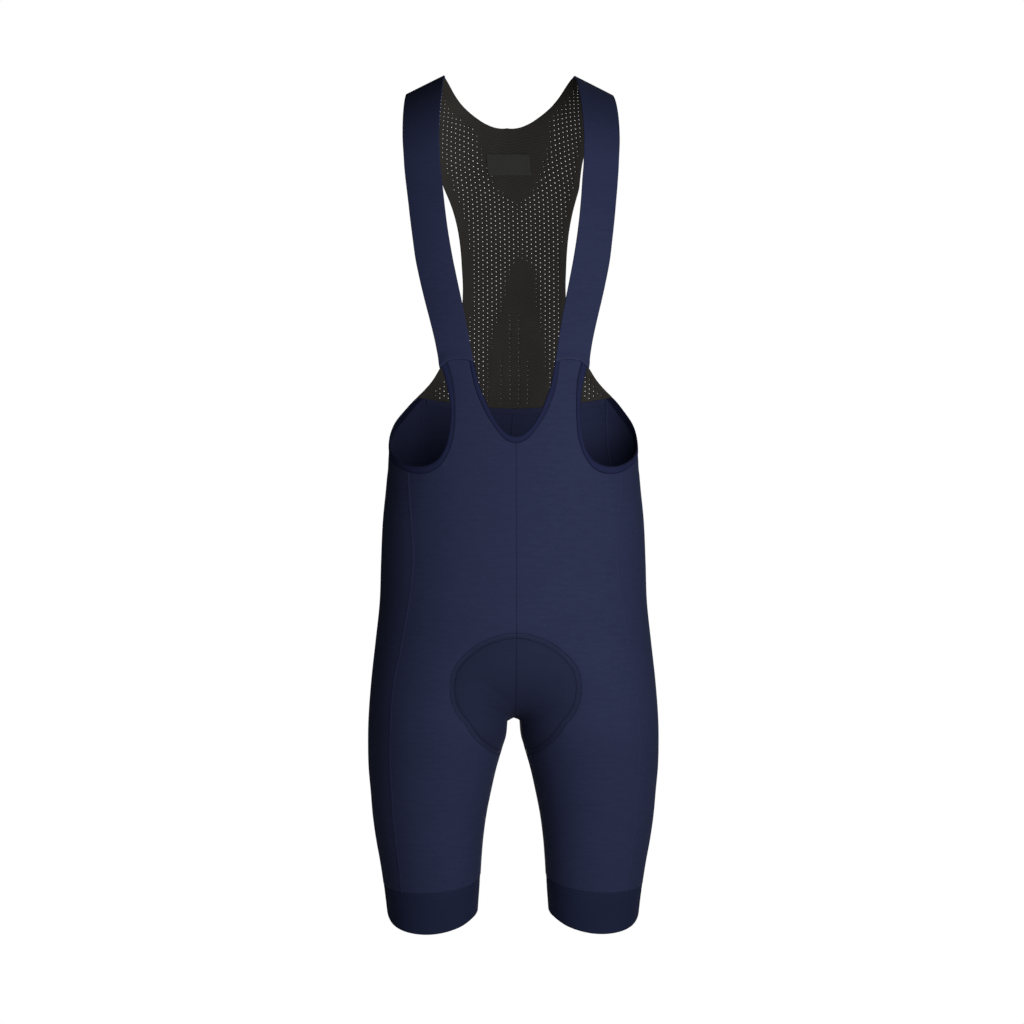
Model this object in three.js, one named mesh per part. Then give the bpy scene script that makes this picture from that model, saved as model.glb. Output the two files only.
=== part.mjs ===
// Cycling bib shorts, filled out as they are when worn, open at neck, armholes and hems.
// Millimetres, +Z up. The front faces -Y and the wearer's left is +X.
// The origin lies between the shoulders, at the height of the straps' undersides.
import * as THREE from 'three';
import { mergeVertices } from 'three/addons/utils/BufferGeometryUtils.js';

// Cloth thicknesses
const KNIT = 1.2;
const NET = 1.0;
const STRAP_KNIT = 1.5;
const BINDING = 1.8;
const BINDING_PROUD = 0.3;
const BAND = 1.6;
const BAND_INSET = 0.2;
const TAPE = 0.8;
const TAPE_WIDTH = 6;
const LABEL = 0.6;
const PAD_EDGE = 2;
const PAD_MIDDLE = 8;

// Gap left at every seam, and those under the seat pad, at its outline and in its middle
const SEAM = 0.3;
const PAD_OUTLINE_GAP = 1.1;
const PAD_GAP = 2;

// Levels of the figure
const CHEST_LEVEL = -100;
const CROTCH_LEVEL = -703;
const UNDER_RISE = 95;
const BLEND_START = -600;
const BLEND_LENGTH = 170;

// Shoulder ridge, which slopes down and out from a point 75 mm from the middle
const RIDGE_LEVEL = 5;
const RIDGE_Y = 4;
const RIDGE_X = 75;
const RIDGE_Z = 12;
const RIDGE_SLOPE = 0.5;
const STRAP_BACK_LEVEL = 2;

// Shape of the sections
const TORSO_SQUARE = 0.065;
const LEG_SQUARE = 0.03;
const BLEND_FULL = 0.5;
const NOTCH_SHARE = 0.35;
const NOTCH_HALF_WIDTH = 7.3;
const NOTCH_DEPTH = 5;
const NOTCH_ROUNDING = 0.6;
const CLEFT_WIDTH = 0.035;
const CLEFT_REACH = 0.08;

// Half of the girth, on average, which turns a share of it into millimetres
const HALF_GIRTH = 430;
const SEAM_SHARE = SEAM / 2 / HALF_GIRTH;
const NORMAL_SHARE = 0.001;
const NORMAL_STEP = 0.4;

// Steps of the grids
const NECK_STEPS = 7;
const FRONT_ARM_STEPS = 10;
const SIDE_ARM_STEPS = 9;
const ABOVE_CROTCH_STEPS = 17;
const BELOW_CROTCH_STEPS = 13;
const BACK_ABOVE_STEPS = 15;
const BACK_BELOW_STEPS = 12;
const FRONT_COLUMNS = [0, 0.03, 0.07, 0.12, 0.18, 0.25, 0.34, 0.45, 0.58, 0.72, 0.86, 1];
const BACK_COLUMNS = [0, 0.15, 0.29, 0.42, 0.54, 0.65, 0.75, 0.84, 0.91, 0.96, 1];
const YOKE_NECK_STEPS = 8;
const YOKE_CENTRE_STEPS = 12;
const YOKE_COLUMNS = 7;
const STRAP_STEPS = 18;
const STRAP_COLUMNS = [0, 0.13, 0.3, 0.475, 0.65, 0.82, 0.9, 1];
const BAND_STEPS = 3;
const BAND_COLUMNS = 32;
const PAD_COLUMNS = [0, 0.05, 0.11, 0.19, 0.3, 0.45, 0.7, 1];
const PAD_ROW_STEPS = 2;
const CROTCH_SPREAD = 1.7;

// Colours of the cloth
const NAVY = 0x2b3050;
const NAVY_TRIM = 0x1f2444;
const BLACK_NET = 0x24221f;
const TAPE_NAVY = 0x2c3154;
const LABEL_GREY = 0x605f5d;
const PAD_NAVY = 0x22263f;

// The half figure, level by level: half width, depths before and behind the middle, and the leg
const FIGURE = table(
  ['level', 'side', 'front', 'back', 'inner', 'legFront', 'legBack', 'legY'],
  [
    [100, 168, 108, 101, 0, 92, 94, 0],
    [-100, 168, 112, 104, 0, 92, 94, 0],
    [-160, 164, 113, 106, 0, 92, 94, 0],
    [-220, 157, 111, 103, 0, 92, 94, 0],
    [-300, 146, 105, 95, 0, 92, 94, 0],
    [-394, 139, 99, 91, 0, 92, 94, 0],
    [-440, 141.7, 100, 96, 0, 92, 94, 0],
    [-485, 146, 103, 104, 0, 92, 94, 0],
    [-530, 148, 106, 112, 0, 92, 94, 0],
    [-575, 149.5, 107, 117, 0, 92, 94, 0],
    [-618, 154, 106, 118, 0, 92, 94, -1],
    [-660, 158.6, 103, 113, 0, 91, 93, -3],
    [-703, 161.8, 98, 106, 0, 89, 90, -4],
    [-733, 162.4, 95, 100, 10, 86, 86, -3],
    [-760, 161.8, 92, 94, 18.5, 82, 81, -1],
    [-786, 159.6, 88, 88, 24.6, 77, 76, 1],
    [-813, 157.4, 84, 82, 30, 72, 71, 3],
    [-840, 153.8, 80, 76, 33.6, 67.5, 66.5, 5],
    [-867, 149, 76, 72, 35.8, 63.5, 62.5, 6.5],
    [-894, 145, 72, 68, 37.3, 60.5, 59.5, 8],
    [-921, 141.7, 70, 66, 39.2, 58, 57, 9],
    [-960, 138, 68, 64, 41, 56, 55, 10],
  ],
);

// Seams, each as shares of the way round from centre front (0) to centre back (1)
const SIDE_SEAM = table(
  ['level', 'share'],
  [
    [-431, 0.287], [-490, 0.2595], [-522, 0.2505], [-583, 0.2627], [-624, 0.2802],
    [-655, 0.312], [-690, 0.341], [-735, 0.3565], [-788, 0.3555], [-833, 0.3515], [-893, 0.352],
  ],
);
const BACK_SEAM = table(
  ['level', 'share'],
  [[-345, 0.751], [-433, 0.722], [-522, 0.706], [-600, 0.7], [-690, 0.69], [-780, 0.68], [-893, 0.675]],
);
const WAIST_SEAM = table(
  ['share', 'level'],
  [[0.731, -344], [0.76, -345.3], [0.828, -349], [0.936, -354.3], [1, -355.5], [1.064, -354.3]],
);
const STRAP_SEAM = table(
  ['share', 'level'],
  [[0.097, -309.3], [0.118, -306.8], [0.142, -307], [0.163, -309.6], [0.178, -315.5]],
);

// Bound openings: the free edge of the binding and its seam with the panel, step by step
const NECK_EDGE = table(
  ['step', 'freeShare', 'freeLevel', 'share', 'level'],
  [
    [0, 0.0975, -309.2, 0.108, -307.7],
    [0.27, 0.0855, -338, 0.099, -336],
    [0.43, 0.0742, -352.5, 0.0895, -351.5],
    [0.62, 0.0588, -368.6, 0.0725, -369],
    [0.8, 0.0387, -382.9, 0.049, -385],
    [0.93, 0.016, -391.3, 0.0244, -396.8],
    [1, 0, -393, 0, -400.5],
    [1.07, -0.016, -391.3, -0.0244, -396.8],
  ],
);
const ARM_EDGE = table(
  ['step', 'freeShare', 'freeLevel', 'share', 'level'],
  [
    [0, 0.1765, -315, 0.162, -309.4],
    [0.146, 0.1665, -335, 0.1505, -334],
    [0.255, 0.1612, -352, 0.149, -355],
    [0.37, 0.1604, -370, 0.1508, -376],
    [0.48, 0.1645, -387.5, 0.1562, -395],
    [0.595, 0.1745, -405, 0.1685, -411.5],
    [0.695, 0.1935, -417.6, 0.1865, -424.3],
    [0.78, 0.2185, -423.3, 0.2095, -430.9],
    [0.875, 0.25, -424.9, 0.2405, -433.3],
    [1, 0.288, -423, 0.287, -431],
    [1.11, 0.342, -417, 0.344, -424.3],
    [1.29, 0.43, -405, 0.43, -412.8],
    [1.476, 0.52, -391.5, 0.522, -399.3],
    [1.7, 0.616, -373, 0.621, -380.8],
    [1.835, 0.6715, -361, 0.681, -368],
    [2, 0.731, -344, 0.751, -344.9],
  ],
);

// Braces over the shoulders: inner and outer edge, by level at the front and past the ridge
const STRAP_EDGE = table(
  ['level', 'inner', 'outer'],
  [
    [-312, 0.0972, 0.1755], [-289, 0.1035, 0.1853], [-267, 0.1098, 0.1937], [-245, 0.1165, 0.2017],
    [-224, 0.123, 0.2084], [-202, 0.1295, 0.2143], [-180, 0.1347, 0.2168], [-158, 0.1387, 0.2193],
    [-137, 0.1415, 0.2215], [-115, 0.144, 0.2244], [-95, 0.147, 0.227], [-78, 0.148, 0.23],
    [-58, 0.1465, 0.23], [-40, 0.1445, 0.228], [-20, 0.143, 0.225], [5, 0.143, 0.2222],
    [18, 0.143, 0.2222],
  ],
);

// Back yoke: its scooped neckline and the sides that run down to the waist
const YOKE_NECK = table(
  ['step', 'share', 'level'],
  [
    [0, 0.857, 2], [0.08, 0.863, -10], [0.17, 0.872, -19.5], [0.3, 0.8825, -30], [0.43, 0.895, -40],
    [0.55, 0.913, -49], [0.68, 0.936, -57], [0.76, 0.951, -61.6], [0.885, 0.976, -66.2],
    [1, 1, -67.8], [1.115, 1.024, -66.2],
  ],
);
const YOKE_SIDE = table(
  ['level', 'share'],
  [
    [2, 0.7778], [-30, 0.797], [-55, 0.822], [-80, 0.843], [-102, 0.856], [-125, 0.868],
    [-148, 0.8757], [-171, 0.8797], [-195, 0.8805], [-217, 0.88], [-240, 0.875], [-265, 0.862],
    [-290, 0.838], [-310.7, 0.8125], [-324.3, 0.794], [-336, 0.765], [-344, 0.731],
  ],
);

// Leg band: its seam with the panels and its hem, all round the leg from the inseam
const LEG_BAND = table(
  ['share', 'top', 'hem'],
  [
    [0, -881, -921.7], [0.078, -885.5, -924], [0.153, -890.5, -931.6], [0.222, -893.6, -937],
    [0.278, -894.6, -938.4], [0.339, -894.4, -937], [0.397, -893.3, -933.7], [0.442, -892.4, -929.5],
    [0.5, -891, -920.5], [0.6, -889.5, -912], [0.75, -887.5, -908], [0.88, -884, -913],
    [1, -881, -921.7],
  ],
);

// Seat pad: the level where each row leaves the middle line, and its end on the stitched
// outline, with shares behind the inseam counted below 0
const SEAT_PAD = table(
  ['row', 'middle', 'share', 'level'],
  [
    [0, -611, 0.03, -611], [1, -620, 0.075, -618.5], [2, -632, 0.115, -631], [3, -646, 0.148, -647],
    [4, -660, 0.168, -667], [5, -673, 0.1745, -685], [6, -685, 0.168, -702], [7, -694, 0.145, -722],
    [8, -700, 0.09, -739.5], [9, -703, 0, -745], [10, -700, -0.1, -738], [11, -694, -0.15, -724],
    [12, -684, -0.18, -702], [13, -670, -0.185, -680], [14, -655, -0.17, -655], [15, -640, -0.13, -635],
    [16, -625, -0.06, -622],
  ],
);
const PAD_CROTCH_ROW = 9;

// Bare label inside the back neck, with the heights of its top and foot
const LABEL_PLACE = { share: 0.9525, top: -59.8, foot: -84.2, columns: 5, steps: 2, lift: 0.6 };

function table(columns, rows) {
  return rows.map((row) => Object.fromEntries(columns.map((column, i) => [column, row[i]])));
}

function clamp(value) {
  return Math.min(Math.max(value, 0), 1);
}

function smooth(value) {
  const share = clamp(value);
  return share * share * (3 - 2 * share);
}

function mix(a, b, share) {
  return a + (b - a) * share;
}

// Slope of a column at a row: the mean of the slopes on both sides of it
function slope(rows, key, column, row) {
  const before = Math.max(row - 1, 0);
  const after = Math.min(row + 1, rows.length - 1);
  const slopes = [];
  for (let i = before; i < after; i += 1) {
    slopes.push((rows[i + 1][column] - rows[i][column]) / (rows[i + 1][key] - rows[i][key]));
  }
  return slopes.reduce((sum, one) => sum + one, 0) / slopes.length;
}

// Reads every column of a table at a value of its key, along smooth curves through the rows
function read(rows, key, value) {
  const last = rows.length - 1;
  const way = Math.sign(rows[last][key] - rows[0][key]);
  let row = 0;
  while (row < last - 1 && way * (value - rows[row + 1][key]) > 0) {
    row += 1;
  }
  const span = rows[row + 1][key] - rows[row][key];
  const s = clamp((value - rows[row][key]) / span);
  const result = {};
  for (const column of Object.keys(rows[0])) {
    const start = rows[row][column];
    const end = rows[row + 1][column];
    const startSlope = slope(rows, key, column, row) * span;
    const endSlope = slope(rows, key, column, row + 1) * span;
    result[column] = (2 * s ** 3 - 3 * s ** 2 + 1) * start
      + (s ** 3 - 2 * s ** 2 + s) * startSlope
      + (3 * s ** 2 - 2 * s ** 3) * end
      + (s ** 3 - s ** 2) * endSlope;
  }
  return result;
}

// A point of the half figure with x above 0. The torso section turns into the leg section
// below the hips: at once along the middle, as a quarter ellipse, and slowly at the sides.
function halfFigure(share, level) {
  const row = read(FIGURE, 'level', Math.min(level, CHEST_LEVEL));
  const sine = Math.sin(Math.PI * share);
  const cosine = Math.cos(Math.PI * share);
  const z = Math.min(level, CHEST_LEVEL);
  const underAngle = Math.acos(1 - clamp((z - CROTCH_LEVEL) / UNDER_RISE));
  const quick = 1 - Math.sin(underAngle);
  const slow = smooth((BLEND_START - z) / BLEND_LENGTH);
  const middle = Math.exp(-((sine / NOTCH_SHARE) ** 2));
  const leg = mix(slow, quick, middle);
  const toMiddle = Math.min(share, 1 - share);
  const cleft = CLEFT_WIDTH * 4 * quick * (1 - quick);
  const eased = Math.sqrt(toMiddle ** 2 + cleft ** 2 * Math.exp(-((toMiddle / CLEFT_REACH) ** 2)));
  const legTurn = Math.sin(2 * Math.PI * eased) * (share > 0.5 ? -1 : 1);
  const torsoFull = 1 + 4 * TORSO_SQUARE * (sine * cosine) ** 2;
  const legFull = 1 + 4 * LEG_SQUARE * (2 * sine * cosine * (1 - 2 * sine * sine)) ** 2;
  const depth = cosine > 0 ? row.front : row.back;
  const legDepth = cosine > 0 ? row.legFront : row.legBack;
  const inner = Math.max(row.inner, 0);
  const legMiddle = (row.side + inner) / 2;
  const legX = legMiddle + (mix(inner, row.side, sine * sine) - legMiddle) * legFull;
  const legY = row.legY - legDepth * legTurn * legFull;
  let x = mix(row.side * sine * torsoFull, legX, leg);
  let y = mix(-depth * cosine * torsoFull, legY, leg) * (1 + BLEND_FULL * slow * (1 - slow));
  const below = CROTCH_LEVEL - z;
  if (below > 0) {
    const notch = NOTCH_HALF_WIDTH * Math.sqrt(1 - (1 - clamp(below / NOTCH_DEPTH)) ** 2);
    x = (x + notch + Math.hypot(x - notch, NOTCH_ROUNDING * notch)) / 2;
  }
  if (level <= CHEST_LEVEL) {
    return new THREE.Vector3(x, y, z);
  }
  const turn = (clamp((level - CHEST_LEVEL) / (RIDGE_LEVEL - CHEST_LEVEL)) * Math.PI) / 2;
  const ridge = RIDGE_Z - RIDGE_SLOPE * (x - RIDGE_X);
  return new THREE.Vector3(
    x,
    RIDGE_Y + (y - RIDGE_Y) * Math.cos(turn),
    mix(CHEST_LEVEL, ridge, Math.sin(turn)),
  );
}

// The figure for shares a little past its middle lines too, and for levels past the ridge,
// which run down the back
function figure(share, level) {
  if (level > RIDGE_LEVEL) {
    return halfFigure(1 - share, 2 * RIDGE_LEVEL - level);
  }
  if (share >= 0 && share <= 1) {
    return halfFigure(share, level);
  }
  if (level < CROTCH_LEVEL) {
    return halfFigure(share - Math.floor(share), level);
  }
  const point = halfFigure(share < 0 ? -share : 2 - share, level);
  point.x = -point.x;
  return point;
}

// Outward direction of the figure
function outward(share, level) {
  const round = figure(share + NORMAL_SHARE, level).sub(figure(share - NORMAL_SHARE, level));
  const up = figure(share, level + NORMAL_STEP).sub(figure(share, level - NORMAL_STEP));
  return round.cross(up).normalize();
}

// Even places from start to end, both included
function even(start, end, steps) {
  return Array.from({ length: steps + 1 }, (_, i) => mix(start, end, i / steps));
}

// Levels that close in on the crotch from start, and levels that open out below it to end
function closing(start, steps) {
  const at = (i) => CROTCH_LEVEL + (start - CROTCH_LEVEL) * (1 - i / steps) ** CROTCH_SPREAD;
  return Array.from({ length: steps }, (_, i) => at(i + 1));
}

function opening(end, steps) {
  const at = (i) => CROTCH_LEVEL + (end - CROTCH_LEVEL) * (i / steps) ** CROTCH_SPREAD;
  return Array.from({ length: steps }, (_, i) => at(i + 1));
}

// Fills a four-sided patch from its edges, each a list of [share, level] places. Top and
// bottom run from the left edge to the right one, at the given columns.
function patch(columns, left, right, top, bottom) {
  const rows = left.length - 1;
  return left.map((start, i) => columns.map((s, j) => {
    const t = i / rows;
    return [0, 1].map((k) => {
      const across = mix(start[k], right[i][k], s);
      const down = mix(top[j][k], bottom[j][k], t);
      const corners = mix(mix(left[0][k], right[0][k], s), mix(left[rows][k], right[rows][k], s), t);
      return across + down - corners;
    });
  }));
}

// Triangles of a wall between two grids of points, with a rim on each edge. An edge that lies
// on the middle plane stays open where both halves are joined, and so do a ring's two ends.
function wall(outer, inner, isRing, isJoined) {
  const triangles = [];
  const quad = (a, b, c, d) => triangles.push([a, b, c], [a, c, d]);
  const rows = outer.length - 1;
  const columns = outer[0].length - 1;
  for (let i = 0; i < rows; i += 1) {
    for (let j = 0; j < columns; j += 1) {
      quad(outer[i][j], outer[i][j + 1], outer[i + 1][j + 1], outer[i + 1][j]);
      quad(inner[i + 1][j], inner[i + 1][j + 1], inner[i][j + 1], inner[i][j]);
    }
  }
  const rim = (i0, j0, i1, j1) => {
    const onMiddle = outer[i0][j0].x === 0 && outer[i1][j1].x === 0;
    if (!(isJoined && onMiddle)) {
      quad(outer[i1][j1], outer[i0][j0], inner[i0][j0], inner[i1][j1]);
    }
  };
  for (let j = 0; j < columns; j += 1) {
    rim(0, j, 0, j + 1);
    rim(rows, j + 1, rows, j);
  }
  for (let i = 0; i < rows && !isRing; i += 1) {
    rim(i + 1, 0, i, 0);
    rim(i, columns, i + 1, columns);
  }
  return triangles;
}

function mirrored(triangles) {
  const flip = (point) => new THREE.Vector3(point.x === 0 ? 0 : -point.x, point.y, point.z);
  return triangles.map(([a, b, c]) => [flip(a), flip(c), flip(b)]);
}

// Volume enclosed by triangles, negative when they face inward
function volume(triangles) {
  return triangles.reduce((sum, [a, b, c]) => sum + a.dot(b.clone().cross(c)), 0) / 6;
}

function mesh(name, colour, triangles) {
  const outwards = volume(triangles) > 0 ? triangles : triangles.map(([a, b, c]) => [a, c, b]);
  const soup = new THREE.BufferGeometry().setFromPoints(outwards.flat());
  const geometry = mergeVertices(soup, 1e-4);
  geometry.computeVertexNormals();
  const material = new THREE.MeshStandardMaterial({ color: colour, roughness: 0.85, metalness: 0 });
  const result = new THREE.Mesh(geometry, material);
  result.name = name;
  return result;
}

// Moves every place of a grid off the figure. The outer side is lifted by lift and the inner
// side sunk by depth, both in millimetres, as functions of the row and column.
function walls(grid, { lift, depth, isRing = false, isJoined = false }) {
  const sides = [lift, (i, j) => -depth(i, j)].map((offset) => grid.map((row, i) => (
    row.map(([share, level], j) => {
      const point = figure(share, level).addScaledVector(outward(share, level), offset(i, j));
      if (isJoined) {
        point.x = Math.abs(point.x) < SEAM / 10 ? 0 : point.x;
      } else if (!isRing) {
        point.x += SEAM / 2;
      }
      return point;
    })
  )));
  return wall(sides[0], sides[1], isRing, isJoined);
}

const flat = (value) => () => value;

// One piece on each side of the body
function pair(name, colour, grid, options) {
  const left = walls(grid, options);
  return [mesh(`${name}_left`, colour, left), mesh(`${name}_right`, colour, mirrored(left))];
}

// One piece across the middle of the body
function whole(name, colour, grid, options) {
  const left = walls(grid, { ...options, isJoined: true });
  return mesh(name, colour, [...left, ...mirrored(left)]);
}

const bandTop = (share, gap) => [share, read(LEG_BAND, 'share', share).top + gap];
const waist = (share, gap) => [share, read(WAIST_SEAM, 'share', share).level + gap];
const strapSeam = (share, gap) => [share, read(STRAP_SEAM, 'share', share).level + gap];

// A place across a binding, from its free edge (0) to its seam with the panel (1)
function onBinding(edge, step, across) {
  const row = read(edge, 'step', step);
  return [mix(row.freeShare, row.share, across), mix(row.freeLevel, row.level, across)];
}

const BINDING_WIDTH = 8;
const BINDING_SEAM = SEAM / 2 / BINDING_WIDTH;
const BINDING_COLUMNS = [0, 0.3, 0.7, 1 - BINDING_SEAM];
const NECK_STEP_LIST = even(0, 1, NECK_STEPS);
const FRONT_ARM_LIST = even(0, 1, FRONT_ARM_STEPS);
const SIDE_ARM_LIST = even(1, 2, SIDE_ARM_STEPS);

// Levels of the side seam, which the front and side panels share
const SIDE_ROWS = NECK_STEPS + ABOVE_CROTCH_STEPS + BELOW_CROTCH_STEPS - FRONT_ARM_STEPS;
const SIDE_SHARE_LOW = SIDE_SEAM.at(-1).share;
const SIDE_LEVELS = even(SIDE_SEAM[0].level, bandTop(SIDE_SHARE_LOW, SEAM / 2)[1], SIDE_ROWS);
const BACK_SHARE_LOW = BACK_SEAM.at(-1).share;
const BACK_LEVELS = even(BACK_SEAM[0].level, bandTop(BACK_SHARE_LOW, SEAM / 2)[1], SIDE_ROWS);
const INSEAM_FOOT = bandTop(0, SEAM / 2)[1];

function seamPlace(seam, level, gap) {
  return [read(seam, 'level', level).share + gap, level];
}

// The middle line stays on the middle plane down to the crotch and then follows the inseam
function middlePlace(share, level) {
  const into = share === 0 ? SEAM_SHARE : -SEAM_SHARE;
  return [level < CROTCH_LEVEL ? share + into : share, level];
}

function panelEdge(edge, step) {
  return onBinding(edge, step, 1 + BINDING_SEAM);
}

// Front half of the bib and the front of the leg, in one piece
function frontPanels() {
  const neck = NECK_STEP_LIST.map((step) => panelEdge(NECK_EDGE, step));
  const neckFoot = neck.at(-1)[1];
  const middle = [...closing(neckFoot, ABOVE_CROTCH_STEPS), ...opening(INSEAM_FOOT, BELOW_CROTCH_STEPS)];
  const left = [...neck, ...middle.map((level) => middlePlace(0, level))];
  const arm = FRONT_ARM_LIST.map((step) => panelEdge(ARM_EDGE, step));
  const side = SIDE_LEVELS.slice(1).map((level) => seamPlace(SIDE_SEAM, level, -SEAM_SHARE));
  arm[FRONT_ARM_STEPS][0] -= SEAM_SHARE;
  const right = [...arm, ...side];
  left[0] = strapSeam(left[0][0], -SEAM / 2);
  right[0] = strapSeam(right[0][0], -SEAM / 2);
  const top = FRONT_COLUMNS.map((s) => strapSeam(mix(left[0][0], right[0][0], s), -SEAM / 2));
  const foot = FRONT_COLUMNS.map((s) => bandTop(mix(left.at(-1)[0], right.at(-1)[0], s), SEAM / 2));
  const grid = patch(FRONT_COLUMNS, left, right, top, foot);
  return pair('front_panel', NAVY, grid, { lift: flat(0), depth: flat(KNIT) });
}

// Side piece from the underarm to the leg band
function sidePanels() {
  const columns = even(0, 1, SIDE_ARM_STEPS);
  const top = SIDE_ARM_LIST.map((step) => panelEdge(ARM_EDGE, step));
  top[0][0] += SEAM_SHARE;
  top[SIDE_ARM_STEPS][0] -= SEAM_SHARE;
  const side = SIDE_LEVELS.slice(1).map((level) => seamPlace(SIDE_SEAM, level, SEAM_SHARE));
  const back = BACK_LEVELS.slice(1).map((level) => seamPlace(BACK_SEAM, level, -SEAM_SHARE));
  const left = [top[0], ...side];
  const right = [top[SIDE_ARM_STEPS], ...back];
  const foot = columns.map((s) => bandTop(mix(left.at(-1)[0], right.at(-1)[0], s), SEAM / 2));
  const grid = patch(columns, left, right, top, foot);
  return pair('side_panel', NAVY, grid, { lift: flat(0), depth: flat(KNIT) });
}

const BACK_TOP_SHARE = BACK_SEAM[0].share + SEAM_SHARE;

// Seat and back of the leg, in one piece
function backPanels() {
  const top = BACK_COLUMNS.map((s) => waist(mix(BACK_TOP_SHARE, 1, s), -SEAM / 2));
  const back = BACK_LEVELS.slice(1).map((level) => seamPlace(BACK_SEAM, level, SEAM_SHARE));
  const waistLevel = top.at(-1)[1];
  const middle = [...closing(waistLevel, BACK_ABOVE_STEPS), ...opening(INSEAM_FOOT, BACK_BELOW_STEPS)];
  const left = [top[0], ...back];
  const right = [top.at(-1), ...middle.map((level) => middlePlace(1, level))];
  const foot = BACK_COLUMNS.map((s) => bandTop(mix(left.at(-1)[0], right.at(-1)[0], s), SEAM / 2));
  const grid = patch(BACK_COLUMNS, left, right, top, foot);
  return pair('back_panel', NAVY, grid, { lift: flat(0), depth: flat(KNIT) });
}

// Open-net yoke from both shoulders down to the waist
function backYoke() {
  const columns = even(0, 1, YOKE_COLUMNS);
  const neck = even(0, 1, YOKE_NECK_STEPS).map((step) => {
    const row = read(YOKE_NECK, 'step', step);
    return [row.share, row.level];
  });
  const foot = columns.map((s) => waist(mix(1, WAIST_SEAM[0].share, s), SEAM / 2));
  const middle = even(YOKE_NECK.at(-2).level, foot[0][1], YOKE_CENTRE_STEPS).slice(1);
  const left = [...neck, ...middle.map((level) => [1, level])];
  const levels = even(STRAP_BACK_LEVEL, foot.at(-1)[1], YOKE_NECK_STEPS + YOKE_CENTRE_STEPS);
  const right = levels.map((level) => seamPlace(YOKE_SIDE, level, 0));
  left[0][1] -= SEAM / 2;
  right[0][1] -= SEAM / 2;
  const top = columns.map((s) => [mix(left[0][0], right[0][0], s), left[0][1]]);
  return whole('back_yoke', BLACK_NET, patch(columns, left, right, top, foot), {
    lift: flat(0),
    depth: flat(NET),
  });
}

// Braces from the tops of the bib over the shoulders to the yoke
function straps() {
  const end = 2 * RIDGE_LEVEL - STRAP_BACK_LEVEL - SEAM / 2;
  const edge = (column) => {
    const start = strapSeam(STRAP_EDGE[0][column], SEAM / 2);
    const levels = even(start[1], end, STRAP_STEPS).slice(1);
    return [start, ...levels.map((level) => [read(STRAP_EDGE, 'level', level)[column], level])];
  };
  const left = edge('inner');
  const right = edge('outer');
  const seam = STRAP_COLUMNS.map((s) => strapSeam(mix(left[0][0], right[0][0], s), SEAM / 2));
  const over = STRAP_COLUMNS.map((s) => [mix(left.at(-1)[0], right.at(-1)[0], s), end]);
  const grid = patch(STRAP_COLUMNS, left, right, seam, over);
  return pair('strap', NAVY, grid, { lift: flat(0), depth: flat(STRAP_KNIT) });
}

const bindingWalls = {
  lift: (i, j) => (j === 1 || j === 2 ? BINDING_PROUD : 0),
  depth: flat(BINDING - BINDING_PROUD),
};

// Folded binding round the V neck
function neckBinding() {
  const grid = NECK_STEP_LIST.map((step) => BINDING_COLUMNS.map((s) => onBinding(NECK_EDGE, step, s)));
  grid[0] = grid[0].map(([share]) => strapSeam(share, -SEAM / 2));
  return whole('neck_binding', NAVY_TRIM, grid, bindingWalls);
}

// Folded binding from the brace round under the arm to the yoke
function armholeBindings() {
  const steps = [...FRONT_ARM_LIST, ...SIDE_ARM_LIST.slice(1)];
  const grid = steps.map((step) => BINDING_COLUMNS.map((s) => onBinding(ARM_EDGE, step, s)));
  grid[0] = grid[0].map(([share]) => strapSeam(share, -SEAM / 2));
  grid[steps.length - 1] = grid.at(-1).map(([share]) => waist(share, -SEAM / 2));
  return pair('armhole_binding', NAVY_TRIM, grid, bindingWalls);
}

// Elastic tape inside the top of the back panels
function waistTape() {
  const shares = BACK_COLUMNS.map((s) => mix(BACK_TOP_SHARE, 1, s)).slice(1);
  const grid = [0, 1].map((row) => shares.map((share) => waist(share, -SEAM - row * TAPE_WIDTH)));
  return whole('back_waist_tape', TAPE_NAVY, grid, {
    lift: flat(-KNIT - SEAM),
    depth: flat(KNIT + SEAM + TAPE),
  });
}

// Gripper band round each hem
function legBands() {
  const grid = even(0, 1, BAND_STEPS).map((t) => even(0, 1, BAND_COLUMNS).map((share) => {
    const row = read(LEG_BAND, 'share', share);
    return [share, mix(row.top - SEAM / 2, row.hem, t)];
  }));
  return pair('leg_band', NAVY_TRIM, grid, {
    lift: flat(-BAND_INSET),
    depth: flat(BAND_INSET + BAND),
    isRing: true,
  });
}

// Pad sewn inside the crotch, thin along its stitched outline
function seatPad() {
  const lastRow = SEAT_PAD.at(-1).row;
  const rows = even(0, lastRow, lastRow * PAD_ROW_STEPS);
  const grid = rows.map((row) => {
    const { middle, share, level } = read(SEAT_PAD, 'row', row);
    const behind = row > PAD_CROTCH_ROW ? 1 : 0;
    return PAD_COLUMNS.map((s) => [behind + share * s, mix(middle, level, s)]);
  });
  const fullness = (i, j) => {
    const along = Math.max(Math.sin((Math.PI * rows[i]) / lastRow), 0);
    const across = Math.max(Math.cos((Math.PI * PAD_COLUMNS[j]) / 2), 0);
    return Math.sqrt(along * across);
  };
  const gap = (i, j) => KNIT + mix(PAD_OUTLINE_GAP, PAD_GAP, Math.sqrt(fullness(i, j)));
  return whole('seat_pad', PAD_NAVY, grid, {
    lift: (i, j) => -gap(i, j),
    depth: (i, j) => gap(i, j) + mix(PAD_EDGE, PAD_MIDDLE, fullness(i, j)),
  });
}

// The level above the chest where the figure reaches a height
function levelAt(share, height) {
  const ridge = RIDGE_Z - RIDGE_SLOPE * (figure(share, CHEST_LEVEL).x - RIDGE_X);
  const turn = Math.asin((height - CHEST_LEVEL) / (ridge - CHEST_LEVEL));
  return CHEST_LEVEL + ((RIDGE_LEVEL - CHEST_LEVEL) * turn) / (Math.PI / 2);
}

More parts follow.
